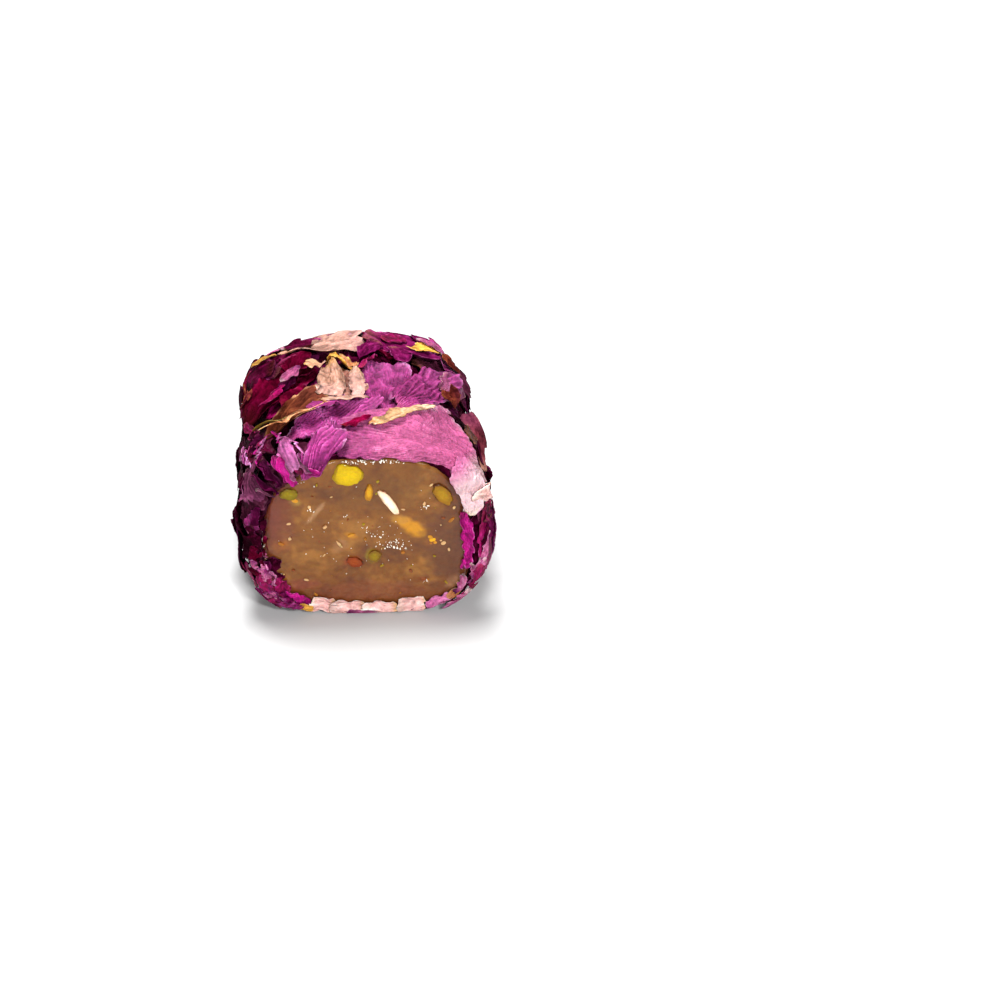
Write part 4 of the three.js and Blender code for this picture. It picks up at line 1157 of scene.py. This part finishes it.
# Bits sunk in the jelly, seen through it, and a few broad darker patches: x, z, half width, half height,
# turn, colour, strength
sunkBits = [
    (6.1, 15.5, 2.6, 1.15, -38, (184, 124, 16), 1.0),
    (4.4, 17.0, 1.3, 0.8, -20, (158, 112, 50), 0.5),
    (0.6, 10.4, 1.1, 1.4, 10, (128, 104, 14), 0.85),
    (-2.2, 9.6, 1.5, 1.0, 15, (132, 58, 22), 0.8),
    (-12.0, 12.4, 1.2, 0.9, 30, (156, 92, 20), 0.6),
    (-2.4, 14.2, 1.1, 0.5, -15, (168, 108, 20), 0.7),
    (-10.0, 20.0, 0.7, 0.7, 0, (150, 120, 46), 0.6),
    (9.0, 13.0, 1.2, 0.9, 20, (168, 98, 22), 0.5),
    (7.9, 6.2, 1.0, 0.7, 0, (104, 50, 20), 0.6),
    (-7.2, 18.1, 2.6, 0.35, 55, (172, 132, 92), 0.55),
    (-3.9, 12.4, 1.3, 0.9, 50, (156, 112, 74), 0.4),
    (11.6, 16.2, 0.9, 1.6, -40, (150, 96, 20), 0.6),
    (12.4, 5.4, 1.8, 1.3, 30, (160, 114, 78), 0.6),
    (-9.4, 5.4, 2.4, 1.0, 0, (120, 40, 46), 0.35),
    (-12.8, 16.8, 1.0, 2.4, 0, (126, 58, 54), 0.35),
    (0.0, 4.0, 7.0, 2.0, 0, (120, 62, 48), 0.3),
    (11.6, 12.0, 4.0, 8.0, 0, (84, 46, 28), 0.75),
    (2.0, 21.5, 7.0, 3.0, 0, (104, 66, 28), 0.5),
    (-12.4, 17.0, 2.6, 6.0, 0, (100, 42, 30), 0.6),
]


def jellyFace(end):
    share = np.sin(np.linspace(0, 1, jelly["rings"] + 1)[1:] * math.pi / 2)[:, None] ** jelly["ringSpacing"]
    edge = sectionAt(np.linspace(0, perimeter, jelly["columns"], endpoint=False))[0]
    x = edge[None, :, 0] * share
    z = blend(block["middle"], edge[None, :, 1], share)
    inset = np.maximum(1 - (1 - share) * jelly["edgeReach"] / jelly["edgeRound"], 0)
    rounding = jelly["edgeRound"] * (1 - np.sqrt(1 - inset**2))
    spot = np.stack([x, np.full_like(x, end * 9.0), z], -1)
    deep = halfLength + bulge(x, z) + layered(spot, jelly["relief"]) - rounding
    cloud = layered(spot, jelly["clouds"])
    flanks = smooth(*jelly["rimAcross"], np.abs(x))
    colour = paint(*jelly["body"])
    for tone, amount in (
        ("pale", smooth(0, 1, cloud)),
        ("deep", smooth(0, -1, cloud)),
        ("low", jelly["lowStrength"] * smooth(*jelly["lowTo"], z)),
        ("rim", jelly["rimStrength"] * smooth(*jelly["rimFrom"], share) * flanks),
    ):
        colour = blend(colour, paint(*jelly[tone]), amount[..., None])
    for bx, bz, wide, high, turn, tone, strength in sunkBits:
        lean = math.radians(turn)
        dx, dz = (x - bx * -end), z - bz
        u = (dx * math.cos(lean) + dz * math.sin(lean)) / wide
        v = (-dx * math.sin(lean) + dz * math.cos(lean)) / high
        away = np.hypot(u, v) * (1 + layered(spot, [jelly["bitWander"]]))
        colour = blend(colour, paint(*tone), (strength * smooth(*jelly["bitBlur"], away))[..., None])
    if end < 0:
        pushed = jelly["pushedUp"] * smooth(*jelly["pushedFrom"], share)
        pushed = pushed * smooth(*jelly["pushedAcross"], np.abs(x - jelly["pushedAt"]))
        z = z + pushed * (z > block["middle"])
    return settle(x, end * deep, z), colour


def jellyBlock():
    front, frontColour = jellyFace(-1)
    back, backColour = jellyFace(1)
    rings, columns = front.shape[:2]
    count = 2 * rings * columns
    index = np.arange(count).reshape(2 * rings, columns)
    middles = [front[0].mean(0), back[0].mean(0)]
    colour = np.concatenate([frontColour.reshape(-1, 3), backColour[::-1].reshape(-1, 3)])
    caps = [tipFaces(index[0], count), tipFaces(index[-1], count + 1)[:, ::-1]]
    return {
        "points": np.concatenate([front.reshape(-1, 3), back[::-1].reshape(-1, 3), middles]),
        "faces": np.concatenate([bandFaces(index), *caps]),
        "colour": np.concatenate([colour, colour[[0, -1]]]),
    }


wetForm = {"haze": {"Detail": 6.0, "Roughness": 0.65}, "shades": (0.3, 0.7, 0.86, 1.14), "depth": 0.0001}


def wetMaterial(name, bump, scale, **settings):
    material, tree, shader = newMaterial(name, **settings)
    tint = addNode(tree, "Attribute", attribute_name="tint").outputs["Color"]
    where = addNode(tree, "TexCoord").outputs["Object"]
    haze = addNode(tree, "TexNoise", Vector=where, Scale=scale, **wetForm["haze"]).outputs["Fac"]
    relief = addNode(tree, "Bump", Strength=bump, Distance=wetForm["depth"], Height=haze)
    colour = scaledColour(tree, tint, ranged(tree, haze, *wetForm["shades"]))
    tree.links.new(colour, shader.inputs["Base Color"])
    tree.links.new(relief.outputs["Normal"], shader.inputs["Normal"])
    return material


jellySkin = wetMaterial("wetJelly", 0.8, 1300.0, Roughness=0.3, IOR=1.25, Coat_Weight=0.3,
                        Coat_Roughness=0.04, Subsurface_Weight=0.3, Subsurface_Scale=0.0008)
nutSkin = wetMaterial("cutNut", 0.7, 2500.0, Roughness=0.35, IOR=1.2, Coat_Weight=0.15,
                      Coat_Roughness=0.08, Subsurface_Weight=0.2, Subsurface_Scale=0.0006)
# glossy beads painted white, as a painted highlight of glints
paintedGlintSkin = wetMaterial("paintedGlintBeads", 0.1, 2500.0, Roughness=0.05, Coat_Weight=1.0, Coat_Roughness=0.02)
buildMesh("jellyBlock", [jellyBlock()], jellySkin, ["lokum"])
print("jelly")

# Nuts that the knife laid bare: node, x, z, width, height, turn, then colours of the middle, flank and rim
frontNuts = [
    ("pistachio_gold", -2.7, 24.4, 4.1, 3.3, 12, (196, 164, 0), (184, 152, 0), (146, 116, 4)),
    ("pistachio_sliver", 0.1, 21.5, 1.2, 2.9, 5, (190, 138, 20), (156, 104, 14), (116, 70, 20)),
    ("pistachio_green", -10.8, 21.3, 2.4, 1.8, 0, (128, 110, 4), (114, 94, 6), (86, 62, 14)),
    ("almond_sliver", 2.8, 19.9, 1.35, 4.9, -32, (246, 224, 204), (232, 200, 170), (196, 150, 110)),
    ("pistachio_dark", 10.2, 21.0, 2.2, 3.9, -36, (150, 112, 12), (134, 92, 8), (72, 32, 8)),
    ("pistachio_olive", 0.9, 10.5, 1.8, 2.1, 10, (128, 104, 10), (112, 82, 12), (100, 62, 22)),
    ("hazelnut_crumb", -1.9, 9.5, 2.3, 1.7, 20, (134, 56, 12), (120, 46, 10), (84, 32, 10)),
]
backNuts = [
    ("pistachio_back_1", 5.2, 20.5, 3.2, 2.4, 25, (180, 156, 12), (156, 120, 8), (96, 70, 14)),
    ("pistachio_back_2", -7.4, 15.4, 2.4, 3.3, -40, (132, 114, 12), (110, 84, 10), (56, 26, 8)),
    ("almond_back", -1.5, 21.2, 1.7, 4.0, 60, (246, 224, 204), (232, 200, 170), (196, 150, 110)),
    ("pistachio_back_3", 7.5, 9.2, 2.2, 2.0, 0, (130, 122, 8), (108, 98, 8), (84, 66, 14)),
]
nutForm = {"rounds": 22, "columns": 36, "proud": 0.22, "depth": 0.7}
nutSeeds = {"first": 50, "step": 5}
lumpForm = {
    "lumps": ((1.0, 0.2, 0), (0.42, 0.12, 1)),  # size, share, seed
    "proudLumps": (0.3, 0.05, 2),
    "wander": (0.6, 0.12, 3),  # of the colours' edges
    "flankAt": (0.3, 0.8),
    "rimAt": (0.88, 1.0),
}


def lump(x, z, wide, high, turn, tones, end, seed, form=nutForm):
    rounds, columns = form["rounds"], form["columns"]
    layers = lambda *rows: [(size, share, seed + more) for size, share, more in rows]
    tilt = np.linspace(0, math.pi, rounds + 1)[1:-1, None]
    spin = np.linspace(0, 2 * math.pi, columns, endpoint=False)[None]
    ball = np.stack([np.sin(tilt) * np.cos(spin), np.sin(tilt) * np.sin(spin), np.cos(tilt) + 0 * spin], -1)
    ball = np.concatenate([ball.reshape(-1, 3), [[0, 0, 1.0], [0, 0, -1.0]]])
    shape = ball * (1 + layered(ball, layers(*lumpForm["lumps"])))[:, None]
    lean = -math.radians(turn)
    px, pz = shape[:, 0] * wide / 2, shape[:, 1] * high / 2
    proud = form["proud"] + layered(ball, layers(lumpForm["proudLumps"]))
    outward = np.minimum(shape[:, 2] * wide * form["depth"] / 2, proud)
    away = np.hypot(ball[:, 0], ball[:, 1]) * (1 + layered(ball, layers(lumpForm["wander"])))
    colour = blend(paint(*tones[0]), paint(*tones[1]), smooth(*lumpForm["flankAt"], away)[:, None])
    colour = blend(colour, paint(*tones[2]), smooth(*lumpForm["rimAt"], away)[:, None])
    points = settle(x + px * math.cos(lean) - pz * math.sin(lean), end * (halfLength + bulge(x, z) + outward),
                    z + px * math.sin(lean) + pz * math.cos(lean))
    count = (rounds - 1) * columns
    index = np.arange(count).reshape(rounds - 1, columns)
    caps = [tipFaces(index[0], count), tipFaces(index[-1][::-1], count + 1)]
    faces = np.concatenate([bandFaces(index), *caps])
    return {"points": points, "faces": faces[:, ::-1] if end < 0 else faces, "colour": colour}


for end, nuts in ((-1, frontNuts), (1, backNuts)):
    for number, (node, x, z, wide, high, turn, *tones) in enumerate(nuts):
        seed = nutSeeds["first"] + nutSeeds["step"] * number
        piece = lump(x, z, wide, high, -end * turn, tones, end, seed)
        buildMesh(node.replace("_", "") + "Cut", [piece], nutSkin, [node])

# Crumbs of nut, and glossy beads painted white as glints, a painted highlight, small and many, on both cuts.
crumbKinds = [
    ((186, 128, 34), (156, 98, 28)), ((150, 92, 26), (128, 70, 20)), ((196, 156, 108), (166, 124, 80)),
    ((140, 116, 22), (116, 90, 18)), ((120, 62, 30), (96, 44, 18)), ((214, 156, 26), (180, 120, 20)),
]
crumbForm = {"rounds": 8, "columns": 12, "proud": 0.12, "depth": 0.9}
paintedGlintForm = {"rounds": 5, "columns": 8, "proud": 0.2, "depth": 1.4}
# Crumbs of the front cut: x, z, width, height, turn and kind
placedCrumbs = [
    (8.7, 13.7, 0.8, 0.6, 20, 0), (9.0, 13.2, 1.0, 0.7, -20, 5), (9.4, 12.7, 0.6, 0.5, 10, 0),
    (8.8, 12.6, 0.5, 0.4, 0, 1), (-10.0, 20.2, 0.9, 0.7, 10, 0), (-12.1, 12.7, 1.0, 0.6, 30, 1),
    (-2.4, 14.2, 1.2, 0.4, -20, 0), (10.2, 13.0, 0.4, 0.3, 0, 2), (-4.0, 12.6, 0.4, 1.5, -35, 2),
    (4.9, 11.0, 0.6, 0.5, 0, 1), (11.6, 16.6, 0.5, 1.3, 40, 1), (13.2, 5.0, 1.2, 0.9, 30, 2),
    (-10.9, 13.6, 0.5, 0.5, 0, 2), (7.9, 6.1, 1.0, 0.8, 0, 4),
]
thrownCrumbs = {"count": 48, "x": (-13, 13), "z": (2.5, 24.5), "kinds": (1, 4.99), "wide": (0.2, 0.8),
                "high": (0.3, 0.8)}
# Glints, painted as white glossy beads: x, z, how far they spread, how many and how big
glints = [
    (2.9, 13.0, 2.6, 1.6, 30, 0.3), (4.4, 12.4, 2.0, 1.2, 22, 0.34), (1.6, 14.4, 2.2, 1.0, 14, 0.24),
    (-1.5, 9.4, 0.5, 0.3, 5, 0.3), (-1.9, 24.7, 0.9, 0.5, 5, 0.24), (-0.4, 15.4, 0.8, 0.6, 9, 0.28),
    (-11.0, 13.8, 0.4, 0.3, 3, 0.36), (0.9, 26.5, 4.8, 0.4, 64, 0.34), (8.1, 18.9, 0.9, 0.5, 9, 0.26),
    (13.6, 11.6, 0.5, 1.6, 12, 0.3), (-7.8, 18.5, 0.6, 0.5, 4, 0.36), (-3.2, 17.5, 0.5, 0.3, 4, 0.26),
    (8.0, 5.6, 0.8, 0.4, 7, 0.32), (-13.3, 9.6, 0.3, 1.3, 6, 0.3), (-12.3, 7.2, 0.3, 0.5, 4, 0.3),
    (-14.6, 13.4, 0.3, 2.0, 8, 0.28), (-9.6, 23.0, 3.0, 0.5, 8, 0.26), (0.0, 14.0, 13.0, 10.0, 56, 0.2),
]
shapeSeeds = {"chance": 91, "placed": 80, "thrown": 120, "glintBead": 200}
# the glint beads' white colour is a painted highlight
glintForm = {"smallest": 0.1, "mostlySmall": 1.8, "high": (0.35, 0.9), "turn": (-70, 70),
             "colour": (255, 248, 234)}


def scatterOnCut(end):
    random = makeRandom(shapeSeeds["chance"] + end)
    between = lambda a, b: blend(a, b, random())
    crumbs, paintedGlints = [], []

    def addCrumb(x, z, wide, high, turn, tones, seed):
        crumbs.append(lump(x, z, wide, high, turn, (tones[0], *tones), end, seed, crumbForm))

    for number, (x, z, wide, high, turn, kind) in enumerate(placedCrumbs):
        addCrumb(-end * x, z, wide, high, turn, crumbKinds[kind], shapeSeeds["placed"] + number)
    some = thrownCrumbs
    for number in range(some["count"]):
        x, z = between(*some["x"]), between(*some["z"])
        tones = crumbKinds[int(between(*some["kinds"]))]
        wide = between(*some["wide"])
        high, turn = wide * between(*some["high"]), between(0, 180)
        addCrumb(x, z, wide, high, turn, tones, shapeSeeds["thrown"] + number)
    for x, z, across, tall, count, biggest in glints:
        for number in range(count):
            wide = blend(glintForm["smallest"], biggest, random() ** glintForm["mostlySmall"])
            at = -end * (x + across * (random() + random() - 1)), z + tall * (random() + random() - 1)
            high, turn = wide * between(*glintForm["high"]), between(*glintForm["turn"])
            tones = [glintForm["colour"]] * 3
            seed = shapeSeeds["glintBead"] + len(paintedGlints)
            paintedGlints.append(lump(*at, wide, high, turn, tones, end, seed, paintedGlintForm))
    return crumbs, paintedGlints


for end, label in ((-1, "front"), (1, "back")):
    crumbs, paintedGlints = scatterOnCut(end)
    buildMesh(label + "Crumbs", crumbs, nutSkin, ["lokum"])
    buildMesh(label + "PaintedGlints", paintedGlints, paintedGlintSkin, ["lokum"])
print("nuts and crumbs")

# Plain pale floor and soft studio light.
studio = {
    "floorHalf": 1.2,
    "floor": (181, 181, 181),
    "backdrop": 1.0,  # what the camera sees past the floor
    "roomLight": 0.22,  # what lights the piece from all round
}
bpy.ops.mesh.primitive_plane_add(size=2 * studio["floorHalf"])
floor = bpy.context.object
floor.name = "floor"
floorPaint = newMaterial("paleFloor", Base_Color=(*paint(*studio["floor"]), 1), Roughness=0.8)[0]
floor.data.materials.append(floorPaint)


def lightRoom():
    world = bpy.data.worlds.new("studioWhite")
    bpy.context.scene.world = world
    world.use_nodes = True
    tree = world.node_tree
    paths = addNode(tree, "LightPath")
    strength = addNode(tree, "MapRange", To_Min=studio["roomLight"], To_Max=studio["backdrop"])
    background = tree.nodes["Background"]
    background.inputs["Color"].default_value = (1, 1, 1, 1)
    tree.links.new(paths.outputs["Is Camera Ray"], strength.inputs["Value"])
    tree.links.new(strength.outputs[0], background.inputs["Strength"])


lightRoom()
lights = [
    {"name": "topSoftbox", "at": (-0.08, 0.22, 1.0), "size": 0.4, "power": 22.5},
    {"name": "lowSoftbox", "at": (-0.25, -1.05, 0.42), "size": 0.3, "power": 7.0},
    {"name": "frontSoftbox", "at": (0.45, -0.85, 0.85), "size": 0.18, "power": 11.5},
]
lightsAim = (0, 0, 0.012)
for own in lights:
    lamp = bpy.data.lights.new(own["name"], "AREA")
    lamp.size = own["size"]
    lamp.energy = own["power"]
    holder = bpy.data.objects.new(own["name"], lamp)
    holder.location = own["at"]
    holder.rotation_euler = (Vector(lightsAim) - Vector(own["at"])).to_track_quat("-Z", "Y").to_euler()
    bpy.context.scene.collection.objects.link(holder)

cameraView = {
    "elevation": 35.5,
    "azimuth": -1.0,
    "distance": 235.0,
    "fieldOfView": 35.0,
    "target": (0.0, 0.0, 14.4),  # before the shift to the frame's origin
    "targetPixel": (366, 467),
    "frameSide": 1000,
}


def placeCamera():
    view = cameraView
    elevation, azimuth = math.radians(view["elevation"]), math.radians(view["azimuth"])
    level = math.cos(elevation)
    back = Vector((math.sin(azimuth) * level, -math.cos(azimuth) * level, math.sin(elevation)))
    half = view["frameSide"] / 2
    focal = half / math.tan(math.radians(view["fieldOfView"]) / 2)
    px, py = view["targetPixel"]
    toPixel = Vector(((px - half) / focal, (half - py) / focal, -1)).normalized()
    aim = toPixel.rotation_difference(Vector((0, 0, -1)))
    lens = bpy.data.cameras.new("camera")
    lens.angle = math.radians(view["fieldOfView"])
    lens.clip_start = 0.01
    camera = bpy.data.objects.new("camera", lens)
    bpy.context.scene.collection.objects.link(camera)
    target = (Vector(view["target"]) + Vector(frameShift)) * millimetre
    camera.location = target + back * view["distance"] * millimetre
    camera.rotation_mode = "QUATERNION"
    camera.rotation_quaternion = (-back).to_track_quat("-Z", "Y") @ aim
    bpy.context.scene.camera = camera


placeCamera()
bpy.context.scene.view_settings.view_transform = "Standard"
